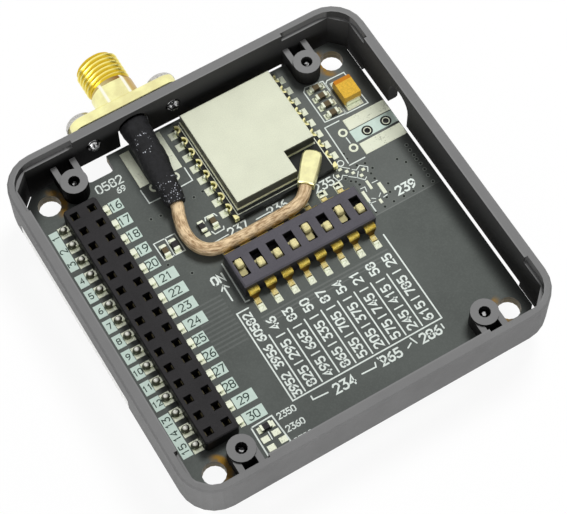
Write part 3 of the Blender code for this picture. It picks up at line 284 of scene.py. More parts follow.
class Tree:
    """A node tree that grows one node at a time."""

    def __init__(self, tree):
        self.nodes = tree.nodes
        self.links = tree.links

    def plug(self, socket, value):
        if isinstance(value, Value):
            self.links.new(value.socket, socket)
        elif socket.type == "RGBA" and len(value) == 3:
            socket.default_value = (*value, 1.0)
        else:
            socket.default_value = value

    def node(self, kind, values=None, output=0, **options):
        made = self.nodes.new("ShaderNode" + kind)
        for key, option in options.items():
            setattr(made, key, option)
        for key, value in (values or {}).items():
            self.plug(made.inputs[key], value)
        return Value(self, made.outputs[output])

    def mix(self, share, first, second):
        """Colour between two colours."""
        return self.node("Mix", {0: share, 6: first, 7: second}, 2, data_type="RGBA")

    def over(self, face, *coats):
        """Colour under coats, each with the share it covers."""
        for share, coat in coats:
            face = self.mix(share, face, coat)
        return face

    def backdrop(self):
        """1 for rays that see the background white: from the camera, reflected or let through."""
        rays = self.node("LightPath").socket.node.outputs
        kinds = ("Camera", "Glossy", "Transmission")
        camera, glossy, through = [Value(self, rays[f"Is {kind} Ray"]) for kind in kinds]
        return camera.above(glossy).above(through)


class Finish(Tree):
    """A procedural material, with positions in millimetres about the board."""

    def __init__(self, name, base, roughness, metallic=0.0, specular=0.3):
        self.material = bpy.data.materials.new(name)
        self.material.use_nodes = True
        self.material.diffuse_color = (*base, 1.0)
        super().__init__(self.material.node_tree)
        self.shader = self.nodes["Principled BSDF"]
        self.base = tuple(base)
        self.feed("Base Color", self.base)
        self.feed("Roughness", roughness)
        self.feed("Metallic", metallic)
        self.feed("Specular IOR Level", specular)

    def feed(self, name, value):
        self.plug(self.shader.inputs[name], value)

    def cover(self, face, roughness, relief, depth, strength=1.0):
        """Feeds colour, roughness and a relief of a given depth in millimetres."""
        self.feed("Base Color", face)
        self.feed("Roughness", roughness)
        values = {"Strength": strength, "Distance": depth * MM, "Height": relief}
        self.feed("Normal", self.node("Bump", values))

    def spot(self):
        """Vector in millimetres about HOME."""
        raw = self.node("TexCoord", output=3)
        moved = self.node("VectorMath", {0: raw, 1: HOME}, operation="SUBTRACT")
        return self.node("VectorMath", {0: moved, 3: 1 / MM}, operation="SCALE")

    def axes(self):
        """The three coordinates in millimetres."""
        split = self.node("SeparateXYZ", {0: self.spot()})
        return [Value(self, output) for output in split.socket.node.outputs]

    def upward(self):
        """How far the surface faces up, from -1 to 1."""
        return self.node("SeparateXYZ", {0: self.node("NewGeometry", output=1)}, 2)

    def upright(self, low=0.3, high=0.7):
        """1 on upright faces, 0 on level ones."""
        return 1 - abs(self.upward()).rise(low, high)

    def inward(self):
        """1 where an upright face looks at the middle of the board, 0 elsewhere."""
        normal = self.node("NewGeometry", output=1)
        level = self.node("VectorMath", {0: self.spot(), 1: (1.0, 1.0, 0.0)}, operation="MULTIPLY")
        facing = self.node("VectorMath", {0: normal, 1: level}, 1, operation="DOT_PRODUCT")
        return (0 - facing).rise(3.0, 9.0)

    def grain(self, size, detail=3.0, rough=0.55):
        """Cloudy noise whose largest features measure about size millimetres."""
        values = {"Vector": self.spot(), "Scale": 1 / size, "Detail": detail, "Roughness": rough}
        return self.node("TexNoise", values)

    def cells(self, size):
        """Distance to the nearest of many scattered points."""
        return self.node("TexVoronoi", {"Vector": self.spot(), "Scale": 1 / size})

    def tint(self, share, low, high):
        """Base colour between two factors of itself."""
        return self.mix(share, dim(self.base, low), dim(self.base, high))


def dress(finish, *nodes):
    """Gives CAD nodes their finish."""
    for name in nodes:
        materials = frame["nodes"][name].data.materials
        if materials:
            materials[0] = finish.material
        else:
            materials.append(finish.material)


def settings():
    """Settings of this module."""
    return bpy.context.scene.radio_module


def plastic(name, base, roughness, size, depth=0.012, low=0.9, high=1.08):
    """Moulded plastic with a fine grain and faint clouds of colour."""
    made = Finish(name, base, roughness)
    fine = made.grain(size, 4.0, 0.6)
    clouds = (fine * 0.6 + made.grain(size * 40, 2.0) * 0.5).rise(0.3, 0.8)
    made.cover(made.tint(clouds, low, high), roughness - 0.08 + fine * 0.16, fine, depth)
    return made


def plating(name, base, roughness, size=0.3, depth=0.004, low=0.82, high=1.08):
    """Metal plating with faint stains and fine scratches."""
    made = Finish(name, base, roughness, 1.0)
    fine = made.grain(size, 5.0, 0.7)
    face = made.tint(made.grain(size * 6).rise(0.3, 0.7), low, high)
    made.cover(face, roughness - 0.1 + fine * 0.2, fine, depth)
    return made


def place(name, data):
    """New object in the scene."""
    made = bpy.data.objects.new(name, data)
    bpy.context.scene.collection.objects.link(made)
    return made


def circle(steps):
    """Cosine and sine at even steps round a circle."""
    angles = [2 * math.pi * step / steps for step in range(steps)]
    return [(math.cos(angle), math.sin(angle)) for angle in angles]


def lay(centre, axis, u, v, level):
    """Point across and along an axis through a centre."""
    local = (u, level, v) if axis == "y" else (u, v, level)
    return tuple(a + b for a, b in zip(centre, local))


def hoop(centre, axis, radius, level, steps=32, flat=math.inf):
    """Circle of points across an axis, cut off level with a flat above and below."""
    return [lay(centre, axis, radius * c, max(-flat, min(flat, radius * s)), level) for c, s in circle(steps)]


class Piece:
    """Shapes in millimetres about the board, gathered into one object."""

    def __init__(self, name, *finishes):
        self.name = name
        self.finishes = finishes
        self.bm = bmesh.new()
        self.wrap = self.bm.loops.layers.uv.new("wrap")

    def face(self, verts, slot, smooth=False):
        made = self.bm.faces.new(verts)
        made.material_index = slot
        made.smooth = smooth
        return made

    def skin(self, loops, slot=0, smooth=False, ring=False):
        """Joins loops of equally many points, with caps at both ends unless they form a ring."""
        rows = [[self.bm.verts.new(HOME + Vector(point) * MM) for point in loop] for loop in loops]
        pairs = list(zip(rows, rows[1:]))
        if ring:
            pairs.append((rows[-1], rows[0]))
        else:
            self.face(rows[0][::-1], slot)
            self.face(rows[-1], slot)
        count = len(rows[0])
        for number, (low, high) in enumerate(pairs):
            for here in range(count):
                after = (here + 1) % count
                made = self.face((low[here], low[after], high[after], high[here]), slot, smooth)
                steps = ((here, number), (here + 1, number), (here + 1, number + 1), (here, number + 1))
                for loop, (u, v) in zip(made.loops, steps):
                    loop[self.wrap].uv = (u / count, v / len(pairs))

    def plate(self, x, y, width, depth, low, high, edge=0.05):
        """Rectangular plate about its middle, with a small slope round its top edge."""
        loops = []
        for level, share in ((low, 0.5), (high, 0.5 - edge / math.hypot(width, depth))):
            loops.append([(x + u * width * share, y + v * depth * share, level) for u, v in CORNERS])
        self.skin(loops)

    def line(self, points, width, low, high, slot=0, closed=False):
        """Printed stroke along points, with round ends."""
        path = [Vector(point) for point in points]
        stations = []
        for here, point in enumerate(path):
            arms = []
            if closed or here:
                arms.append((point - path[here - 1]).normalized())
            if closed or here < len(path) - 1:
                arms.append((path[(here + 1) % len(path)] - point).normalized())
            along = sum(arms, Vector((0.0, 0.0))).normalized()
            across = Vector((-along.y, along.x))
            normal = Vector((-arms[0].y, arms[0].x))
            stations.append((point, across * (width / 2 / max(across.dot(normal), 0.5))))
        if not closed:
            start = path[0] + (path[0] - path[1]).normalized() * width * 0.4
            stop = path[-1] + (path[-1] - path[-2]).normalized() * width * 0.4
            stations = [(start, stations[0][1] * 0.45), *stations, (stop, stations[-1][1] * 0.45)]
        loops = []
        for point, arm in stations:
            left, right = point + arm, point - arm
            loops.append([(*left, low), (*right, low), (*right, high), (*left, high)])
        self.skin(loops, slot, ring=closed)

    def ring(self, x, y, inner, outer, low, high, slot=0, steps=24):
        """Flat ring."""
        row = ((inner, low), (outer, low), (outer, high), (inner, high))
        loops = [[(x + radius * c, y + radius * s, level) for radius, level in row] for c, s in circle(steps)]
        self.skin(loops, slot, ring=True)

    def holed(self, span_x, span_y, centre, radius, low, high):
        """Rectangular plate with a round hole."""
        x, y = centre
        angles = {round(2 * math.pi * step / 24 - math.pi, 5) for step in range(24)}
        angles |= {round(math.atan2(v - y, u - x), 5) for u in span_x for v in span_y}
        loops = []
        for angle in sorted(angles):
            c, s = math.cos(angle), math.sin(angle)
            reach_x = (span_x[c > 0] - x) / c if abs(c) > 1e-6 else math.inf
            reach_y = (span_y[s > 0] - y) / s if abs(s) > 1e-6 else math.inf
            reach = min(reach_x, reach_y)
            row = ((radius, low), (reach, low), (reach, high), (radius, high))
            loops.append([(x + r * c, y + r * s, level) for r, level in row])
        self.skin(loops, ring=True)

    def blob(self, x, y, z, size, steps=12, rows=5):
        """Rounded heap, such as a joint of solder."""
        loops = []
        for row in range(rows):
            tilt = math.pi / 2 * row / rows
            reach_x, reach_y = size[0] * math.cos(tilt), size[1] * math.cos(tilt)
            level = z + size[2] * math.sin(tilt)
            loops.append([(x + reach_x * c, y + reach_y * s, level) for c, s in circle(steps)])
        self.skin(loops, smooth=True)

    def turned(self, profile, centre, axis):
        """Round body from radius and level pairs along an axis."""
        self.skin([hoop(centre, axis, radius, level) for radius, level in profile], smooth=True)

    def tube(self, path, radii, steps, ripple=None):
        """Round skin along a path, with an optional ripple of its radius."""
        loops = []
        side = Vector((1.0, 0.0, 0.0))
        for here, (centre, radius) in enumerate(zip(path, radii)):
            along = (path[min(here + 1, len(path) - 1)] - path[max(here - 1, 0)]).normalized()
            side = (side - along * side.dot(along)).normalized()
            up = along.cross(side)
            loop = []
            for c, s in circle(steps):
                reach = radius + ripple(here, c, s) if ripple else radius
                loop.append(centre + (side * c + up * s) * reach)
            loops.append(loop)
        self.skin(loops, smooth=True)

    def solid(self):
        """Object made of the shapes."""
        bmesh.ops.recalc_face_normals(self.bm, faces=self.bm.faces[:])
        mesh = bpy.data.meshes.new(self.name)
        self.bm.to_mesh(mesh)
        self.bm.free()
        for finish in self.finishes:
            mesh.materials.append(finish.material)
        return place(self.name, mesh)

    def make(self, replaces=(), sharp=None):
        """Turns the shapes into an object that rides on the module."""
        made = self.solid()
        if sharp:
            made.data.shade_smooth()
            made.data.set_sharp_from_angle(angle=math.radians(sharp))
        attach(made, "module")
        if replaces:
            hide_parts(*replaces)
        return made


# Strokes of the printed figures, by points on a box 60 wide and 100 high
FIGURES = {
    "0": "15,0 45,0 60,18 60,82 45,100 15,100 0,82 0,18 15,0",
    "1": "12,80 32,100 32,0",
    "2": "0,82 13,100 47,100 60,82 60,62 0,0 60,0",
    "3": "0,100 60,100 28,58 45,58 60,42 60,16 45,0 14,0 0,14",
    "4": "46,0 46,100 0,30 60,30",
    "5": "56,100 6,100 2,55 45,60 60,44 60,16 45,0 14,0 0,14",
    "6": "50,100 18,80 0,42 0,16 15,0 45,0 60,16 60,38 45,54 4,46",
    "7": "0,100 60,100 24,0",
    "8": "15,53 0,68 0,86 15,100 45,100 60,86 60,68 45,53 15,53; 15,53 0,38 0,14 15,0 45,0 60,14 60,38 45,53",
    "9": "10,0 42,20 60,58 60,84 45,100 15,100 0,84 0,62 15,46 56,54",
    "N": "0,0 0,100 60,0 60,100",
}
FIGURES["O"] = FIGURES["0"]


def figures(piece, text, x, y, size, turn, width, low, high, slot=0):
    """Writes figures about a point, turned anticlockwise by degrees."""
    advance = 0.86 * size
    c, s = math.cos(math.radians(turn)), math.sin(math.radians(turn))
    start = -(advance * (len(text) - 1) + 0.6 * size) / 2
    for number, character in enumerate(text):
        for stroke in FIGURES[character].split("; "):
            points = []
            for pair in stroke.split():
                u, v = [int(value) / 100 for value in pair.split(",")]
                along = start + advance * number + u * size
                up = (v - 0.5) * size
                points.append((x + along * c - up * s, y + along * s + up * c))
            piece.line(points, width, low, high, slot)


# Plain numbers: their middle, their height and their share of the stroke's width
WORDS = (
    ("239", 20.3, 0.0, 1.2, 1.3), ("235", 11.0, 5.95, 1.2, 1.1), ("236", 3.9, 6.2, 1.2, 1.1),
    ("237", -2.2, 6.2, 1.2, 1.1), ("0582", -13.75, 20.95, 1.2, 1.0), ("69", -12.7, 19.5, 0.8, 0.8),
    ("234", -1.85, -20.3, 1.3, 1.3), ("265", 5.3, -20.1, 1.25, 1.3), ("286", 11.4, -20.05, 1.25, 1.3),
    ("2350", -10.2, -19.75, 0.8, 0.8), ("2360", -10.1, -21.8, 0.8, 0.8), ("2380", -10.0, -23.8, 0.8, 0.8),
)

# Middle, width and depth of the plain pads
PADS = (
    (-9.7, 21.3, 1.45, 5.95), (-4.75, 21.5, 1.65, 6.5), (21.7, 12.25, 6.6, 1.85),
    (21.72, 7.92, 6.55, 1.95), (21.2, 18.55, 2.5, 1.2), (21.2, 14.65, 2.5, 1.2), (-4.55, 9.62, 1.0, 0.62),
    (-4.55, 7.82, 1.0, 0.62), (-6.05, 9.42, 0.85, 0.6), (-6.1, 7.5, 0.85, 0.6), (-12.2, 9.0, 0.95, 0.6),
    (-12.2, 7.2, 0.95, 0.6), (-10.7, 9.15, 0.95, 0.6), (-10.7, 7.35, 0.95, 0.6),
    (-14.42, -20.2, 0.6, 0.95), (-12.58, -20.2, 0.6, 0.95), (-12.71, -21.45, 1.1, 0.9),
    (-14.35, -21.6, 1.1, 0.9), (-12.4, -22.75, 1.1, 0.9), (-14.25, -22.95, 1.1, 0.9),
    (12.6, 4.85, 1.1, 1.1), (10.2, 4.8, 1.1, 1.0), (16.26, 2.8, 0.4, 1.5), (17.5, 1.5, 0.55, 1.9),
    (14.93, 1.5, 0.45, 1.8), (16.3, -0.12, 0.42, 0.75), (14.1, 6.79, 0.6, 0.42), (13.33, 6.09, 0.5, 0.5),
    (14.76, 6.09, 0.5, 0.5), (15.39, 5.45, 0.5, 0.45), (16.83, 5.22, 0.55, 0.45), (16.16, 4.55, 0.5, 0.5),
)

# Middle of each covered via
VIAS = (
    (23.87, 5.38), (23.86, 4.48), (23.9, 3.54), (23.86, 2.84), (23.95, 1.97), (23.95, 0.97),
    (23.85, -0.06), (23.89, -1.2), (22.36, -1.13), (20.86, -1.12), (19.35, -1.1), (17.78, -1.08),
    (16.32, -1.14), (14.85, -1.22), (21.6, 4.2), (22.39, 3.18), (21.89, 1.13), (18.03, 4.76),
    (17.41, 4.14), (17.28, -0.05), (17.56, 5.9), (17.42, 3.24), (16.42, 6.2), (14.46, 4.51),
    (14.97, 4.11), (15.18, 3.47), (14.02, 5.2), (12.55, 5.88), (18.57, 1.64), (18.09, 0.4), (15.84, 8.64),
    (15.81, 7.74), (-3.46, 13.52), (-4.91, 13.35), (-11.48, 13.4), (-10.1, 13.2), (-12.87, 6.28),
    (-10.73, 3.61),
)

# Printed outlines that close on themselves
OUTLINES = (
    ((-13.01, 9.95), (-9.85, 9.9), (-9.82, 7.0), (-12.93, 7.1)),
    ((16.23, 19.8), (16.75, 20.35), (19.4, 19.98), (19.44, 13.93), (16.24, 14.2)),
    ((19.5, 13.85), (19.5, 19.34), (19.95, 19.75), (22.65, 19.7), (22.95, 13.79)),
)

# Printed lines, by their share of the stroke's width
LINES = {
    0.6: (
        ((13.61, 6.9), (13.86, 7.25), (14.23, 7.31), (15.32, 6.26)),
        ((15.52, 5.97), (15.98, 5.61), (16.72, 6.0), (17.57, 5.25), (17.2, 4.6)),
        ((16.62, 4.0), (16.19, 3.72), (15.47, 4.54), (16.1, 5.3)), ((13.96, 5.89), (14.47, 5.49)),
        ((14.57, 5.3), (15.47, 4.54)),
        ((12.95, 6.6), (12.78, 6.25), (13.03, 5.42), (13.5, 5.39), (13.94, 5.85)),
        ((16.74, 2.83), (17.56, 2.8)), ((14.95, 2.85), (15.59, 2.8), (15.45, 2.08)),
        ((15.44, 0.85), (15.91, 0.52)), ((14.78, 0.28), (15.7, 0.18)), ((16.92, 0.93), (16.45, 0.54)),
        ((16.9, 0.18), (17.55, 0.25)),
    ),
    0.7: (
        ((-5.87, 6.0), (-3.76, 6.08)),
    ),
    0.8: (
        ((-11.3, 9.95), (-11.39, 7.05)), ((-5.35, 9.4), (-5.18, 9.9), (-3.87, 9.82), (-3.66, 9.3)),
        ((-3.68, 7.5), (-3.85, 7.08), (-5.24, 7.03), (-5.45, 7.6)), ((-13.6, -22.0), (-13.55, -20.9)),
    ),
    0.85: (
        ((-10.56, 17.95), (-10.48, 15.63), (-8.62, 15.59)),
        ((-3.76, 17.95), (-3.77, 15.71), (-5.75, 15.65)), ((18.0, 13.4), (15.75, 13.42), (15.61, 7.04)),
        ((15.59, 6.7), (18.02, 6.7)), ((17.46, 10.6), (17.48, 9.6)),
        ((0.57, 6.1), (2.6, 6.15), (2.95, 5.95)),
    ),
    1.0: (
        ((-15.15, -19.31), (-12.05, -19.2), (-11.75, -23.4), (-12.4, -23.7)),
        ((-15.15, -19.31), (-15.2, -23.6), (-14.6, -23.9)),
        ((-6.68, 2.71), (-6.84, -3.67), (-6.25, -3.72)), ((14.9, 2.3), (14.9, -1.1)),
        ((-6.94, -4.62), (-8.69, -4.62), (-8.69, -18.85), (13.9, -18.85), (13.9, -4.6)),
        ((-6.37, -19.49), (-6.4, -20.04), (-4.25, -20.18)),
        ((0.82, -20.25), (2.88, -20.35), (3.11, -19.74)), ((3.66, -19.35), (4.11, -20.34)),
        ((7.84, -20.22), (8.55, -19.82)), ((8.82, -19.16), (9.21, -20.22)),
        ((13.34, -19.55), (13.36, -20.23)),
    ),
    1.1: (
        ((-8.19, -2.64), (-8.17, -0.15)), ((-8.7, -0.75), (-8.15, -0.1), (-7.56, -0.7)),
    ),
}

# Tags beside the strip that reach further right than the others
LONG_TAGS = (5, 6, 7, 8, 13, 14)

class RADIO_OT_stage(bpy.types.Operator):
    """Set up the camera, the lamps, the sky and the floor"""

    bl_idname = "radio_module.stage"
    bl_label = "Stage"

    def execute(self, context):
        chosen = settings().stage
        scene = context.scene
        scene.view_settings.view_transform = "Standard"

        camera = bpy.data.cameras.new("camera")
        camera.sensor_width = SENSOR_WIDTH
        camera.lens = FOCAL_LENGTH
        camera.shift_x, camera.shift_y = CAMERA_SHIFT
        camera.clip_start = 0.01
        scene.camera = place("camera", camera)
        turn = Matrix((CAMERA_ACROSS, -CAMERA_DOWN, -CAMERA_AHEAD)).transposed().to_4x4()
        scene.camera.matrix_world = Matrix.Translation(HOME + CAMERA_PLACE * MM) @ turn

        for name, spot, side, share in LAMPS:
            lamp = bpy.data.lights.new(name, "AREA")
            lamp.energy = chosen.key_power * share
            lamp.size = side * MM
            made = place(name, lamp)
            made.location = HOME + Vector(spot) * MM
            made.rotation_euler = (-Vector(spot)).to_track_quat("-Z", "Y").to_euler()
            made.visible_glossy = name != "key"

        scene.world = scene.world or bpy.data.worlds.new("sky")
        scene.world.use_nodes = True
        sky = Tree(scene.world.node_tree)
        background = sky.nodes["Background"].inputs
        sky.plug(background["Color"], WHITE)
        sky.plug(background["Strength"], sky.backdrop() * (1 - chosen.sky) + chosen.sky)

        white = Finish("floor", chosen.floor, 0.6)
        white.feed("Roughness", 0.55 + white.grain(8.0) * 0.1)
        glow = white.node("Emission", {"Color": WHITE, "Strength": 1.0})
        lit = Value(white, white.shader.outputs[0])
        both = white.node("MixShader", {0: white.backdrop() * 0.92, 1: lit, 2: glow})
        white.links.new(both.socket, white.nodes["Material Output"].inputs["Surface"])
        mesh = bpy.data.meshes.new("floor")
        level = cad_bounds[0][2] - FLOOR_GAP * MM
        reach = FLOOR_REACH * MM
        mesh.from_pydata([(u * reach, v * reach, level) for u, v in CORNERS], [], [(0, 1, 2, 3)])
        mesh.materials.append(white.material)
        floor = place("floor", mesh)
        return {"FINISHED"}


class RADIO_OT_frame(bpy.types.Operator):
    """Finish the moulded frame and the blank strip on its side"""

    bl_idname = "radio_module.frame"
    bl_label = "Frame"

    def execute(self, context):
        chosen = settings().frame
        grey = Finish("frame_plastic", chosen.plastic, 0.5, specular=0.08)
        x, y, z = grey.axes()
        fine = grey.grain(chosen.grain, 5.0, 0.65)
        clouds = (fine * 0.5 + grey.grain(6.0) * 0.5).rise(0.3, 0.7)
        inside = (1 - abs(x).above(abs(y)).rise(25.75, 25.9)) * (1 - (abs(x) + abs(y)).rise(49.9, 50.3))
        flat = grey.upward().rise(0.5, 0.9)
        # Painted light: faces that look up are painted lighter, the rim's top by half, those inside the
        # pocket fully.
        rim = flat * (z.rise(7.0, 7.25) * 0.5).above(inside)
        # Painted shade: up-facing ledges outside the pocket, between 4 and 6.9 mm high, are painted dark.
        ledge = flat * (1 - inside) * z.inside(4.0, 6.9)
        # Painted shade: upright faces inside the pocket, and inward faces below the ledge, take the darker
        # inner wall colour.
        deep = grey.upright(0.35, 0.75) * inside.above(grey.inward() * (1 - z.rise(5.0, 6.4)))
        # Painted shadow: the walls of the back left corner turn near black below the ledge.
        corner = (y - x).rise(26.0, 34.0) * (1 - z.rise(4.6, 6.4))
        # Painted shade: the inner walls darken towards their foot.
        wall = grey.mix(z.rise(2.0, 7.5), dim(chosen.wall, 0.35), chosen.wall)
        wall = grey.mix(corner, wall, (0.001, 0.001, 0.001))
        face = grey.over(
            grey.tint(clouds, 0.86, 1.12),
            (rim, dim(chosen.plastic, 1.25)),
            (ledge * 0.7, dim(chosen.plastic, 0.15)),
            (deep, wall),
        )
        grey.cover(face, 0.45 + fine * 0.2 + deep * 0.2, fine, 0.02, 0.8)
        dress(grey, "frame")

        film = Finish("label_film", chosen.label, 0.45)
        film.cover(film.tint(film.grain(0.5), 0.93, 1.04), 0.45, film.grain(0.2), 0.005)
        dress(film, "side_label")
        return {"FINISHED"}


class RADIO_OT_board(bpy.types.Operator):
    """Finish the circuit board, and add its pads and joints"""

    bl_idname = "radio_module.board"
    bl_label = "Board"

    def finish_board(self, chosen):
        mask = Finish("solder_mask", chosen.mask, 0.42)
        x, y, z = mask.axes()
        broad = mask.grain(9.0)
        fine = mask.grain(0.25, 4.0)
        pour = (y > -1.62) * (x > 14.6) * 0.1
        step = y.inside(-1.74, -1.56) * (x > 14.6) * 0.22
        left_runs = ((y * 9.6).sine() > 0.3) * x.inside(-13.6, -9.1) * y.inside(-8.8, -0.9) * 0.1
        low_runs = ((y * 11.0).sine() > 0.2) * x.inside(-6.2, 13.2) * y.inside(-7.9, -6.5) * 0.13
        copper = pour.above(step).above(left_runs).above(low_runs)
        # Painted shadow: a dark band along the right wall and in the back left corner of the board.
        shade = (x.rise(22.4, 24.2) * 0.6).above((y - x).rise(44.0, 47.5) * 0.85)
        corner_x, corner_y = abs(x) - CORNER_HOLE, abs(y) - CORNER_HOLE
        around = corner_x * corner_x + corner_y * corner_y
        stain = mask.grain(1.1).rise(0.36, 0.6)
        bare = (1 - around.rise(4.6, 7.4)) * (0 - corner_x).rise(0.1, 1.7) * (0.35 + stain * 0.65)
        # Painted shade: the upright walls of the inner holes, away from the edges and the corner holes, are
        # near black.
        hole = (1 - (abs(x).above(abs(y)) > 24.2)) * (around > 3.1)
        upright = mask.upright(0.4, 0.8)
        layers = ((z * 9.0).sine() * 0.5 + 0.5).rise(0.2, 0.8)
        laminate = mask.mix(layers * 0.5 + broad * 0.4, dim(chosen.laminate, 0.4), chosen.laminate)
        face = mask.over(
            mask.tint(broad.rise(0.3, 0.7), 0.88, 1.1),
            (fine.rise(0.4, 0.7) * 0.06, (0.3, 0.32, 0.3)),
            (copper, (0.4, 0.42, 0.4)),
            (shade, (0.004, 0.004, 0.004)),
            (bare * 0.9, mask.mix(broad, paint(110, 80, 10), paint(196, 144, 24))),
            (upright * (1 - hole), laminate),
            (upright * hole, (0.01, 0.01, 0.01)),
        )
        mask.cover(face, 0.4 + broad * 0.12, fine * 0.4 + broad, 0.012)
        dress(mask, "circuit_board")

    def tinned(self, base):
        """Solder, shiny, with a painted highlight on the tops of the heaps beside the strip and painted shade
        on their steep sides.
        """
        solder = Finish("solder", base, 0.34, 0.65)
        fine = solder.grain(0.22, 4.0, 0.65)
        broad = solder.grain(1.3)
        x, _, z = solder.axes()
        heap = z.rise(BOARD_TOP + 0.12, BOARD_TOP + 0.2) * (x < -20.0)
        steep = 1 - solder.upward().rise(0.6, 0.85)
        face = solder.over(
            solder.mix((fine * 0.65 + broad * 0.5).rise(0.3, 0.52), paint(120, 122, 90), base),
            # Painted highlight on the tops of the heaps, painted shade on their steep sides.
            (heap * (1 - steep), paint(252, 252, 240)),
            (heap * steep * 0.9, paint(86, 84, 58)),
        )
        solder.feed("Metallic", 0.92 - heap * 0.8)
        solder.cover(face, 0.3 + broad * 0.25, fine, 0.03)
        return solder

    def execute(self, context):
        self.finish_board(settings().board)
        pads = Piece("solder_joints", self.tinned(settings().metal.solder))

        def pad(x, y, width, depth):
            pads.plate(x, y, width, depth, BOARD_TOP, PAD_TOP)

        def joint(x, y, *size):
            pads.blob(x, y, BOARD_TOP + 0.04, size)

        for y in PIN_ROWS:
            pad(-22.35, y, 1.4, 1.8)
            pad(-15.85, y, 0.72, 1.6)
            joint(-22.4, y + 0.1, 0.66, 0.58, 0.95)
            joint(-15.95, y, 0.3, 0.5, 0.3)
        for side in (-1, 1):
            for x in KNOBS:
                pad(x, SWITCH_Y - 0.05 + side * 4.65, 1.0, 1.9)
                joint(x, SWITCH_Y + side * 4.7, 0.4, 0.62, 0.14)
            for y in range(8):
                pad(RADIO_X + side * 8.62, 9.05 + 2 * y, 1.05, 1.15)
                joint(RADIO_X + side * 8.12, 9.1 + 2 * y, 0.42, 0.36, 0.85)
            for y in range(4):
                pad(CHIP_ROW_X + side * 0.95, 19.39 - 1.525 * y, 0.75, 0.95)
                joint(CHIP_ROW_X + side * 0.84, 19.39 - 1.525 * y, 0.3, 0.42, 0.4)
        for spot in PADS:
            pad(*spot)
        for spot in ((17.45, 11.48), (17.48, 8.73), (-8.77, 17.44), (-5.53, 17.41)):
            pads.ring(*spot, 0.36, 0.66, BOARD_TOP, PAD_TOP)
        for x in (23.5, 20.5):
            pads.ring(x, 10.1, 0.42, 0.54, BOARD_TOP, PAD_TOP + 0.01)
        pads.make()
        return {"FINISHED"}


class RADIO_OT_print(bpy.types.Operator):
    """Print the lines, boxes and figures on the board"""

    bl_idname = "radio_module.print"
    bl_label = "Print"

    def tags(self, chosen, gap):
        """Boxes with a number beside each pin of the strip, and round the two bores."""
        tag = plastic("print_tag", chosen.tag, 0.55, 0.5, 0.006, 0.93, 1.05)
        ink = plastic("print_figure", paint(52, 66, 60), 0.5, 0.3, 0.004)
        tags = Piece("board_tags", tag, ink, gap)

        def box(x, y, width, depth):
            tags.plate(x, y, width, depth, BOARD_TOP, PRINT_TOP, 0.0)

        def write(number, x, y, size, turn, width):
            figures(tags, str(number), x, y, size, turn, width, PRINT_TOP - 0.01, PRINT_TOP + 0.012, 1)

        for number, y in enumerate(PIN_ROWS):
            right = -12.3 if number in LONG_TAGS else -13.65
            middle = (right + TAG_EDGE) / 2
            box(middle, y, right - TAG_EDGE, 1.72)
            write(number + 16, middle - 0.12, y, 1.05, 0, 0.16)
        for row, x, width, depth, spread in ((1, -23.78, 1.25, 6.5, 0.3), (13, -23.9, 1.45, 6.6, 0.44)):
            box(x, PIN_ROWS[row], width, depth)
            for step in (-1, 0, 1):
                write(row + step + 1, x, PIN_ROWS[row + step] + step * spread, 0.95, 90, 0.15)
        for number in range(3, 12):
            box(-23.75, PIN_ROWS[number], 1.32, 2.0)
            write(number + 1, -23.75, PIN_ROWS[number], 0.8, 0, 0.14)
        for span, centre in (((22.0, 25.0), (23.5, 10.1)), ((18.3, 22.0), (20.5, 10.1))):
            tags.holed(span, (9.25, 11.2), centre, 0.8, BOARD_TOP, PRINT_TOP)
            tags.ring(*centre, 0.55, 0.78, BOARD_TOP, PRINT_TOP - 0.01, 2)
        tags.make()

    def execute(self, context):
        chosen = settings().board
        gap = plastic("print_gap", paint(24, 25, 24), 0.6, 0.3, 0.004)
        self.tags(chosen, gap)
        marks = Piece("board_marks", plastic("print_line", chosen.line, 0.6, 0.3, 0.006))

        def draw(points, share=1.0, closed=False):
            marks.line(points, chosen.stroke * share, BOARD_TOP, PRINT_TOP, closed=closed)

        def write(text, x, y, size, turn, share):
            figures(marks, text, x, y, size, turn, chosen.stroke * share, BOARD_TOP, PRINT_TOP)

        for points in OUTLINES:
            draw(points, 0.8, True)
        for share, lines in LINES.items():
            for points in lines:
                draw(points, share)
        marks.ring(14.7, 7.59, 0.36, 0.5, BOARD_TOP, PRINT_TOP)
        for text, x, y, size, share in WORDS:
            write(text, x, y, size, 0, share)
        write("ON", -8.3, 1.0, 1.15, 0, 1.4)

        # Columns of the table below the switch
        for column in range(8):
            x = -5.32 + PITCH * column
            draw(((x - 1.3, -9.8 if column else -9.35), (x - 1.3, -18.5)))
            for row, y in enumerate((-8.2, -12.5, -16.85)):
                number = (37 * column + 53 * row + 26) % 70 + 20
                write(f"{number}5" if row else str(number), x, y, 1.18, 90, 1.2)
            for y in (-10.15, -14.68):
                draw(((x - 0.62, y), (x + 0.62, y)))
        for text, y in (("60582", -7.45), ("3956", -12.3), ("3952", -16.85)):
            write(text, -7.66, y, 1.08, 90, 1.2)
        marks.make()

        vias = Piece("covered_vias", plastic("via_rim", paint(104, 109, 104), 0.5, 0.3, 0.006), gap)
        for spot in VIAS:
            vias.ring(*spot, 0.17, 0.3, BOARD_TOP, BOARD_TOP + 0.015, 0, 12)
            vias.ring(*spot, 0.01, 0.18, BOARD_TOP, BOARD_TOP + 0.012, 1, 12)
        vias.make()
        return {"FINISHED"}


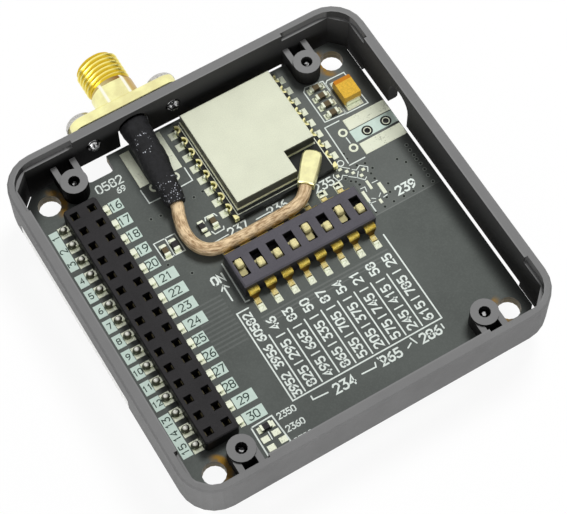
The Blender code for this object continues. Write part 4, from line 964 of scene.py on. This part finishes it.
class RADIO_OT_strips(bpy.types.Operator):
    """Finish the bus strips, and add the contacts inside the socket"""

    bl_idname = "radio_module.strips"
    bl_label = "Bus strips"

    def execute(self, context):
        chosen = settings()
        gold, solder = chosen.metal.gold, chosen.metal.solder
        for name, node, first, reach, level in (
            ("socket_strip", "bus_socket", solder, 2.47, -9.0),
            ("plug_strip", "bus_plug", gold, 2.52, -2.55),
        ):
            strip = Finish(name, chosen.plastic.strip, 0.5, specular=0.12)
            x, _, z = strip.axes()
            fine = strip.grain(0.14, 4.0, 0.65)
            broad = strip.grain(3.0, 2.0)
            plated = (abs(x - SOCKET_X) > reach).above(z < level)
            face = strip.over(
                strip.tint((fine * 0.7 + broad * 0.4).rise(0.3, 0.8), 0.72, 1.15),
                # Painted shade: the upright sides of the strips are near black.
                (strip.upright() * 0.7, (0.006, 0.006, 0.006)),
                (plated, strip.mix(broad, first, solder)),
            )
            strip.feed("Metallic", plated)
            strip.cover(face, 0.5 - plated * 0.2, fine, 0.02)
            dress(strip, node)

        # Painted shade: the contacts are dark brown, as they lie in the shade of the holes.
        contacts = Piece("socket_contacts", plating("contact_plating", paint(84, 78, 58), 0.45))
        for y in PIN_ROWS:
            for x in (-20.42, -17.88):
                for side in (-1, 1):
                    loops = []
                    for reach, level in ((0.5, 2.35), (0.28, 3.3), (0.45, 3.95)):
                        loops.append([(x + side * reach + u * 0.05, y + v * 0.3, level) for u, v in CORNERS])
                    contacts.skin(loops)
        contacts.make()
        return {"FINISHED"}


class RADIO_OT_switch(bpy.types.Operator):
    """Finish the switch block, its knobs and its pins"""

    bl_idname = "radio_module.switch"
    bl_label = "Switch"

    def execute(self, context):
        chosen = settings()
        body = Finish("switch_plastic", chosen.plastic.switch, 0.5, specular=0.12)
        fine = body.grain(0.2, 4.0, 0.6)
        face = body.tint((fine * 0.6 + body.grain(4.0) * 0.5).rise(0.3, 0.8), 0.86, 1.12)
        # Painted shade: the upright sides of the housing are near black.
        face = body.mix(body.upright() * 0.8, face, (0.006, 0.006, 0.007))
        body.cover(face, 0.42 + fine * 0.16, fine, 0.014)
        dress(body, "dip_base")

        knob = Finish("knob_plastic", chosen.plastic.knob, 0.4)
        fine = knob.grain(0.25)
        # Painted shade: the knobs darken towards their foot, down in the windows.
        low = 1 - knob.axes()[2].rise(3.9, 4.9)
        face = knob.mix(low * 0.7, knob.tint(fine.rise(0.3, 0.7), 0.8, 1.1), dim(chosen.plastic.knob, 0.4))
        knob.cover(face, 0.4 + fine * 0.1, fine, 0.01)
        dress(knob, *(f"dip_slider_{number}" for number in range(1, 9)))

        pins = Finish("pin_plating", paint(226, 186, 62), 0.3, 0.75)
        _, y, z = pins.axes()
        fine = pins.grain(0.2, 4.0)
        reach = abs(y - SWITCH_Y)
        face = pins.over(
            pins.mix(fine.rise(0.25, 0.75), paint(206, 164, 40), paint(255, 236, 128)),
            # Painted shade on the pins' legs between the shoulders and the feet.
            (1 - z.rise(2.85, 3.2), paint(96, 70, 14)),
            (1 - z.rise(2.05, 2.2), pins.mix(fine.rise(0.2, 0.8), paint(200, 176, 92), paint(248, 236, 178))),
            (reach.rise(4.62, 4.7), chosen.metal.solder),
            (reach.inside(4.5, 4.64), paint(70, 60, 34)),
        )
        pins.cover(face, 0.26 + fine * 0.2, fine, 0.01)
        dress(pins, *(f"dip_pin_{number}" for number in range(1, 17)))
        return {"FINISHED"}


class RADIO_OT_radio(bpy.types.Operator):
    """Finish the radio board and its can"""

    bl_idname = "radio_module.radio"
    bl_label = "Radio"

    def execute(self, context):
        chosen = settings()
        mask = Finish("radio_mask", chosen.board.mask, 0.42)
        x, y, _ = mask.axes()
        broad = mask.grain(3.0)
        across = abs(x - RADIO_X) - 8.0
        along = (y - 8.1) % 2.0 - 1.0
        plated = 1 - (across * across + along * along).rise(0.36, 0.46)
        mask.feed("Metallic", plated)
        face = mask.mix(plated, mask.tint(broad, 0.1, 0.25), chosen.metal.gold)
        mask.cover(face, 0.42 - plated * 0.14, broad, 0.01)
        dress(mask, "radio_board")

        can = Finish("can_metal", chosen.metal.can, 0.42)
        fine = can.grain(0.16, 4.0, 0.7)
        broad = can.grain(4.0)
        upright = can.upright(0.3, 0.8)
        face = can.over(
            can.tint((fine * 0.6 + broad * 0.35).rise(0.25, 0.7), 0.9, 1.08),
            # Painted shade: the upright sides of the can are near black, with a painted highlight along their
            # lower edge.
            (upright * 0.94, (0.02, 0.02, 0.014)),
            (upright * (1 - can.axes()[2].rise(2.95, 3.1)), paint(225, 222, 190)),
        )
        can.feed("Metallic", 0.3 - upright * 0.3)
        can.cover(face, 0.42 + fine * 0.16, fine * 0.7 + broad, 0.02)
        dress(can, "radio_can")

        seam = Piece("can_seam", plating("seam_plating", chosen.metal.solder, 0.36))
        notch_x, notch_y = 8.23, 11.6
        left, right, front, back = -1.08, 12.88, 8.1, 23.75
        outline = ((left, front), (notch_x, front), (notch_x, notch_y), (right, notch_y), (right, back))
        seam.line((*outline, (left, back)), 0.26, RADIO_TOP, RADIO_TOP + 0.12, closed=True)
        for points in (((-1.45, 23.6), (-1.45, 7.45), (8.9, 7.45)), ((13.3, 7.5), (13.3, 23.6))):
            seam.line(points, 0.12, RADIO_TOP, RADIO_TOP + 0.03)
        seam.make()
        return {"FINISHED"}


# Middle of the coaxial lead as far as the plug, how far in its jacket starts, and the jacket's radius
LEAD_ROUTE = (
    (CONNECTOR_X, 25.48, CONNECTOR_Z), (-7.3, 21.3, 4.75), (-7.55, 16.9, 4.0), (-7.78, 12.9, 3.4),
    (-8.3, 11.3, 3.1), (-8.82, 9.2, 2.95), (-8.8, 7.3, 2.95), (-8.3, 5.85, 2.95), (-7.25, 4.8, 2.95),
    (-5.85, 4.35, 2.95), (-3.9, 4.22, 2.95), (-1.0, 4.22, 2.95), (1.8, 4.25, 3.0), (4.0, 4.25, 3.15),
    (5.5, 4.25, 3.45), (6.6, 4.52, 3.75),
)
JACKET_START = 2.8
JACKET_RADIUS = 0.9

# Length of the shrunk sleeve, and its radius at even steps along it
SLEEVE_LENGTH = 13.0
SLEEVE_RADII = (2.12, 1.93, 1.86, 1.92, 2.02, 1.82, 1.66, 1.5, 1.42)


class RADIO_OT_coax(bpy.types.Operator):
    """Finish the coaxial plug, and lay the lead and its shrunk sleeve"""

    bl_idname = "radio_module.coax"
    bl_label = "Coaxial lead"

    def smooth_line(self, route, spacing):
        """Evenly spaced points on a smooth curve through a route, with their reach."""
        route = [Vector(point) for point in route]
        ends = [2 * route[0] - route[1], *route, 2 * route[-1] - route[-2]]
        fine = []
        for a, b, c, d in zip(ends, ends[1:], ends[2:], ends[3:]):
            for step in range(24):
                t = step / 24
                bend = 2 * a - 5 * b + 4 * c - d
                twist = 3 * b - a - 3 * c + d
                fine.append(b + 0.5 * (t * (c - a) + t * t * bend + t * t * t * twist))
        fine.append(route[-1])
        reach = [0.0]
        for here, after in zip(fine, fine[1:]):
            reach.append(reach[-1] + (after - here).length)
        count = round(reach[-1] / spacing)
        points = []
        for number in range(count + 1):
            target = reach[-1] * number / count
            index = max(1, next(i for i, value in enumerate(reach) if value >= target - 1e-9))
            share = (target - reach[index - 1]) / (reach[index] - reach[index - 1])
            points.append((target, fine[index - 1].lerp(fine[index], share)))
        return points

    def crinkle(self, here, c, s):
        """Ripple of the sleeve's radius."""
        return 0.11 * noise.fractal(Vector((c * 1.3, s * 1.3, here * 0.16)), 1.0, 2.0, 3)

    def lay_jacket(self, line, chosen):
        jacket = Finish("lead_jacket", chosen.jacket, 0.35, 0.15)
        wrap = jacket.node("UVMap", uv_map="wrap")
        spread = jacket.node("VectorMath", {0: wrap, 1: (22.0, 30.0, 1.0)}, operation="MULTIPLY")
        values = {"Vector": spread, "Scale": 1.0, "Detail": 4.0, "Roughness": 0.6}
        streak = jacket.node("TexNoise", values)
        shade = (streak * 0.75 + jacket.grain(1.6, 4.0, 0.6) * 0.35).rise(0.36, 0.7)
        jacket.feed("Coat Weight", 0.4)
        jacket.cover(jacket.mix(shade, chosen.braid, chosen.jacket), 0.3 + streak * 0.2, streak, 0.06)
        path = [point for reach, point in line if reach >= JACKET_START]
        lead = Piece("coax_jacket", jacket)
        lead.tube(path, [JACKET_RADIUS] * len(path), 24)
        lead.make(("coax_lead",))

    def lay_sleeve(self, line, chosen):
        black = Finish("sleeve_plastic", chosen.sleeve, 0.42)
        x, y, _ = black.axes()
        crease = black.grain(0.6, 5.0, 0.65)
        glint_specks = 1 - black.cells(0.3).rise(0.24, 0.34)
        ring_x, ring_y = x + 7.55, y - 21.5
        far = ring_x * ring_x + ring_y * ring_y * 0.62
        bands = far.inside(0.7, 1.6).above(y.inside(12.6, 16.2) * black.grain(0.7, 2.0).rise(0.42, 0.55))
        # Painted glints: pale specks on upward faces, in a ring near the sleeve's start and in bands near its
        # end.
        light = glint_specks * bands * black.upward().rise(0.3, 0.5)
        face = black.mix(light, black.tint(crease.rise(0.3, 0.7), 0.5, 1.5), paint(190, 193, 200))
        black.cover(face, 0.42 + crease * 0.25, crease, 0.12)
        path = [point for reach, point in line if reach <= SLEEVE_LENGTH]
        radii = []
        for number in range(len(path)):
            share = number / (len(path) - 1) * (len(SLEEVE_RADII) - 1)
            low = min(int(share), len(SLEEVE_RADII) - 2)
            radii.append(SLEEVE_RADII[low] + (SLEEVE_RADII[low + 1] - SLEEVE_RADII[low]) * (share - low))
        radii[-1] -= 0.12
        sleeve = Piece("shrunk_sleeve", black)
        sleeve.tube(path, radii, 32, self.crinkle)
        sleeve.make(("heat_shrink",))

    def execute(self, context):
        x, y, z = COAX_PLUG
        c, s = math.cos(COAX_HEADING), math.sin(COAX_HEADING)
        behind_plug = [(x + c * reach, y + s * reach, z) for reach in (5.0, 4.2)]
        line = self.smooth_line((*LEAD_ROUTE, *behind_plug), 0.2)
        self.lay_jacket(line, settings().lead)
        self.lay_sleeve(line, settings().lead)
        gold = plating("coax_plating", paint(252, 246, 188), 0.34, 0.25, 0.01, 0.86, 1.05)
        dress(gold, "coax_plug", "coax_receptacle")
        return {"FINISHED"}


class RADIO_OT_connector(bpy.types.Operator):
    """Cut the antenna connector's thread and finish the connector"""

    bl_idname = "radio_module.connector"
    bl_label = "Antenna connector"

    def gilded(self, base):
        """Gold plating with painted shade and painted highlights on the turned barrel."""
        gold = Finish("connector_plating", base, 0.26, 1.0)
        x, y, z = gold.axes()
        x, y, z = x - CONNECTOR_X, y - CONNECTOR_Y, z - CONNECTOR_Z
        fine = gold.grain(0.3, 5.0, 0.65)
        broad = gold.grain(1.8)
        away = x * x + z * z
        barrel = y.inside(1.62, 5.0)
        turned = y > 4.9
        relief = y.inside(4.3, 5.0) * (0.5 + x.rise(-1.5, 1.8) * 0.45)
        groove = (1 - away.rise(8.5, 9.7)) * turned * (away > 6.4)
        face = gold.over(
            gold.tint(broad.rise(0.3, 0.7), 0.84, 1.04),
            # Painted shade on the right flank of the barrel.
            (barrel * x.rise(1.5, 2.2) * 0.75, paint(176, 124, 30)),
            # Painted shadow in the relief under the thread, deeper on its right side.
            (relief, paint(128, 76, 12)),
            # Painted highlight along the edges of the barrel's flats.
            (barrel * abs(abs(x) - 1.62).rise(0.3, 0.08), paint(255, 253, 236)),
            (turned * 0.8, paint(255, 240, 130)),
            # Painted shade in the grooves of the thread.
            (groove, paint(216, 184, 46)),
            # Painted shade inside the bore.
            ((away < 6.0) * (y > 0.5) * 0.5, paint(120, 92, 30)),
            # Painted shadow on the back of the flange.
            (y < 0.03, (0.004, 0.003, 0.002)),
        )
        gold.cover(face, 0.2 + fine * 0.22, fine * 0.5 + broad, 0.02)
        return gold

    def flange(self, half_u, half_v, level, radius=1.6, steps=6):
        """Rounded outline of the flange."""
        points = []
        for u, v, start in ((1, 1, 0), (-1, 1, 90), (-1, -1, 180), (1, -1, 270)):
            for step in range(steps + 1):
                angle = math.radians(start + 90 * step / steps)
                across = u * (half_u - radius) + radius * math.cos(angle)
                upward = v * (half_v - radius) + radius * math.sin(angle)
                points.append(lay(CONNECTOR, "y", across, upward, level))
        return points

    def threaded(self, pitch, depth, start=5.05, stop=9.4, stations=64, steps=64):
        """Loops of the barrel's thread, with a chamfer at its mouth."""
        loops = []
        for station in range(stations + 1):
            level = start + (stop - start) * station / stations
            fade = min(1.0, (level - start) / 0.3)
            chamfer = max(0.0, level - (stop - 0.55)) * 0.95
            loop = []
            for step, (c, s) in enumerate(circle(steps)):
                phase = ((level - start) / pitch + step / steps) % 1.0
                crest = max(0.0, 1 - abs(phase - 0.5) * 2.6) * fade
                radius = max(BARREL_RADIUS - depth * (1 - crest) - chamfer, 2.45)
                loop.append(lay(CONNECTOR, "y", radius * c, radius * s, level))
            loops.append(loop)
        return loops

    def execute(self, context):
        chosen = settings()
        gold = self.gilded(chosen.metal.gold)
        piece = Piece("threaded_connector", gold)
        flange = ((7.83, 2.73, 0.0), (7.95, 2.85, 0.12), (7.95, 2.85, 1.45), (7.8, 2.7, 1.6))
        piece.skin([self.flange(*sizes) for sizes in flange])
        base = ((3.02, 1.5), (BARREL_RADIUS, 1.65), (BARREL_RADIUS, 4.35), (2.95, 4.7))
        piece.skin([hoop(CONNECTOR, "y", *sizes, 64, BARREL_FLAT) for sizes in base])
        tail = ((2.05, 0.6), (2.6, 0.62), (2.82, 4.6), (2.82, 5.0))
        bore = ((2.36, 9.4), (2.3, 9.3), (2.3, 7.5), (2.05, 7.5))
        loops = [hoop(CONNECTOR, "y", *sizes, 64) for sizes in tail]
        loops += self.threaded(chosen.connector.thread_pitch, chosen.connector.thread_depth)
        loops += [hoop(CONNECTOR, "y", *sizes, 64) for sizes in bore]
        piece.skin(loops, ring=True)
        piece.turned(((2.05, -1.5), (2.05, 0.3)), CONNECTOR, "y")
        piece.make(("antenna_connector",), 32)
        dress(gold, "connector_contact")
        white = plastic("insulator_plastic", paint(236, 236, 230), 0.4, 0.3, 0.006)
        dress(white, "connector_insulator")
        return {"FINISHED"}


class RADIO_OT_screws(bpy.types.Operator):
    """Cut the cross recesses and threads of the screws"""

    bl_idname = "radio_module.screws"
    bl_label = "Screws"

    def screw(self, name, node, centre, axis, profile, head, outward, steel):
        """Lathed screw with a cross cut into its head."""
        piece = Piece(name, steel)
        piece.turned(profile, centre, axis)
        made = piece.make((node,), 35)
        tool = Piece(name + "_cross")
        for long, short in ((1.15, 0.24), (0.24, 1.15)):
            loops = []
            for share, level in ((1.0, head + outward * 0.4), (0.55, head - outward * 0.75)):
                across, deep = long * share, short * (0.6 + 0.4 * share)
                loops.append([lay(centre, axis, u * across, v * deep, level) for u, v in CORNERS])
            tool.skin(loops)
        cutter = tool.solid()
        cut = made.modifiers.new("cross", "BOOLEAN")
        cut.operation = "DIFFERENCE"
        cut.solver = "EXACT"
        cut.use_self = True
        cut.object = cutter
        bpy.context.view_layer.update()
        graph = bpy.context.evaluated_depsgraph_get()
        result = bpy.data.meshes.new_from_object(made.evaluated_get(graph), depsgraph=graph)
        made.modifiers.clear()
        made.data = result
        result.set_sharp_from_angle(angle=math.radians(35))
        bpy.data.objects.remove(cutter, do_unlink=True)

    def thread(self, radius, start, stop, pitch, depth=0.16):
        """Profile of a ridged shank between two levels."""
        points = []
        while stop - start > pitch:
            points += [(radius - depth, start + pitch * 0.15), (radius, start + pitch * 0.5)]
            points.append((radius - depth, start + pitch * 0.85))
            start += pitch
        return points

    def execute(self, context):
        steel = Finish("screw_steel", settings().metal.steel, 0.3, 1.0)
        _, y, z = steel.axes()
        fine = steel.grain(0.25, 5.0, 0.7)
        # Painted shade with patchy painted glints on the flange screws' ends inside the back wall and the
        # board screws' shanks inside the bosses.
        shade_inside = (y > 24.0) * (y < 26.6) + (z > 1.0) * (y < 24.0)
        shaded = steel.mix(steel.grain(0.5).rise(0.46, 0.56), (0.02, 0.02, 0.02), (0.5, 0.5, 0.5))
        face = steel.mix(shade_inside, steel.tint(fine.rise(0.35, 0.6), 0.55, 1.08), shaded)
        steel.cover(face, 0.24 + fine * 0.25, fine, 0.01)

        board = [(1.0, -1.1), (1.45, -1.02), (1.78, -0.75), (1.9, -0.45), (1.9, 0.0)]
        board += [*self.thread(0.78, 0.0, 4.0, 0.5), (0.6, 4.0), (0.3, 4.3)]
        for number, (x, y) in enumerate(BOSS_PLACES, 1):
            names = (f"board_fixing_{number}", f"board_screw_{number}")
            self.screw(*names, (x, y, -0.1), "z", board, -1.1, -1, steel)
        flange = [(0.5, -4.05), (0.62, -3.9), *self.thread(0.9, -3.7, -0.1, 0.45), (0.9, 0.0), (2.2, 0.0)]
        flange += [(2.2, 0.25), (2.12, 0.55), (1.9, 0.88), (1.5, 1.18), (0.95, 1.38), (0.4, 1.45)]
        for number, side in ((1, -1), (2, 1)):
            names = (f"flange_fixing_{number}", f"flange_screw_{number}")
            centre = lay(CONNECTOR, "y", side * FLANGE_SCREW_REACH, 0.0, 1.7)
            self.screw(*names, centre, "y", flange, 1.45, 1, steel)
        return {"FINISHED"}


# Material, axis and middle of each kind of chip, whether it is dark, and the chips that have it
CHIPS = (
    ("chip_row", 0, CHIP_ROW_X, False, (1, 2, 3, 4)),
    ("chip_near_radio", 1, 8.72, False, (5,)),
    ("chip_near_lead", 1, 8.72, True, (6,)),
    ("chip_left", 1, 8.1, False, (7,)),
    ("chip_beside", 1, 8.25, True, (8,)),
    ("chip_front", 0, -13.5, True, (9,)),
)


class RADIO_OT_parts(bpy.types.Operator):
    """Finish the moulded capacitor and the small chips"""

    bl_idname = "radio_module.parts"
    bl_label = "Small parts"

    def execute(self, context):
        chosen = settings()
        solder = chosen.metal.solder
        resin = Finish("capacitor_resin", chosen.plastic.resin, 0.42)
        x, y, z = resin.axes()
        fine = resin.grain(0.18, 4.0)
        along = abs(y - CAPACITOR_Y)
        plated = (along > 1.71).above((along > 1.4) * (z < 2.5) * (abs(x - CAPACITOR_X) < 1.06))
        face = resin.over(
            resin.tint(fine.rise(0.3, 0.7), 0.82, 1.1),
            ((y > 17.55) * (z > 3.2) * 0.8, paint(186, 104, 16)),
            (plated, solder),
        )
        resin.feed("Metallic", plated)
        resin.cover(face, 0.42, fine, 0.012)
        dress(resin, "tantalum_capacitor")

        for name, axis, middle, dark, numbers in CHIPS:
            chip = Finish(name, paint(44, 42, 44) if dark else chosen.plastic.ceramic, 0.45)
            fine = chip.grain(0.2, 4.0)
            cap = abs(chip.axes()[axis] - middle) > 0.45
            chip.feed("Metallic", cap)
            chip.cover(chip.mix(cap, chip.tint(fine, 0.8, 1.12), solder), 0.48 - cap * 0.12, fine, 0.015)
            dress(chip, *(f"chip_{number}" for number in numbers))
        return {"FINISHED"}


STEPS = (
    RADIO_OT_stage,
    RADIO_OT_frame,
    RADIO_OT_board,
    RADIO_OT_print,
    RADIO_OT_strips,
    RADIO_OT_switch,
    RADIO_OT_radio,
    RADIO_OT_coax,
    RADIO_OT_connector,
    RADIO_OT_screws,
    RADIO_OT_parts,
)


class RADIO_PT_panel(bpy.types.Panel):
    """Buttons of the radio module"""

    bl_label = "Radio module"
    bl_idname = "RADIO_PT_panel"
    bl_space_type = "VIEW_3D"
    bl_region_type = "UI"
    bl_category = "Radio module"

    def draw(self, context):
        for step in STEPS:
            self.layout.operator(step.bl_idname)


GROUPS = (
    StageSettings,
    FrameSettings,
    BoardSettings,
    MetalSettings,
    PlasticSettings,
    LeadSettings,
    ConnectorSettings,
    ModuleSettings,
)


def register():
    for item in (*GROUPS, *STEPS, RADIO_PT_panel):
        bpy.utils.register_class(item)
    bpy.types.Scene.radio_module = bpy.props.PointerProperty(type=ModuleSettings)


def unregister():
    del bpy.types.Scene.radio_module
    for item in reversed((*GROUPS, *STEPS, RADIO_PT_panel)):
        bpy.utils.unregister_class(item)


def main():
    register()
    for step in STEPS:
        group, name = step.bl_idname.split(".")
        getattr(getattr(bpy.ops, group), name)()


if __name__ == "__main__":
    main()
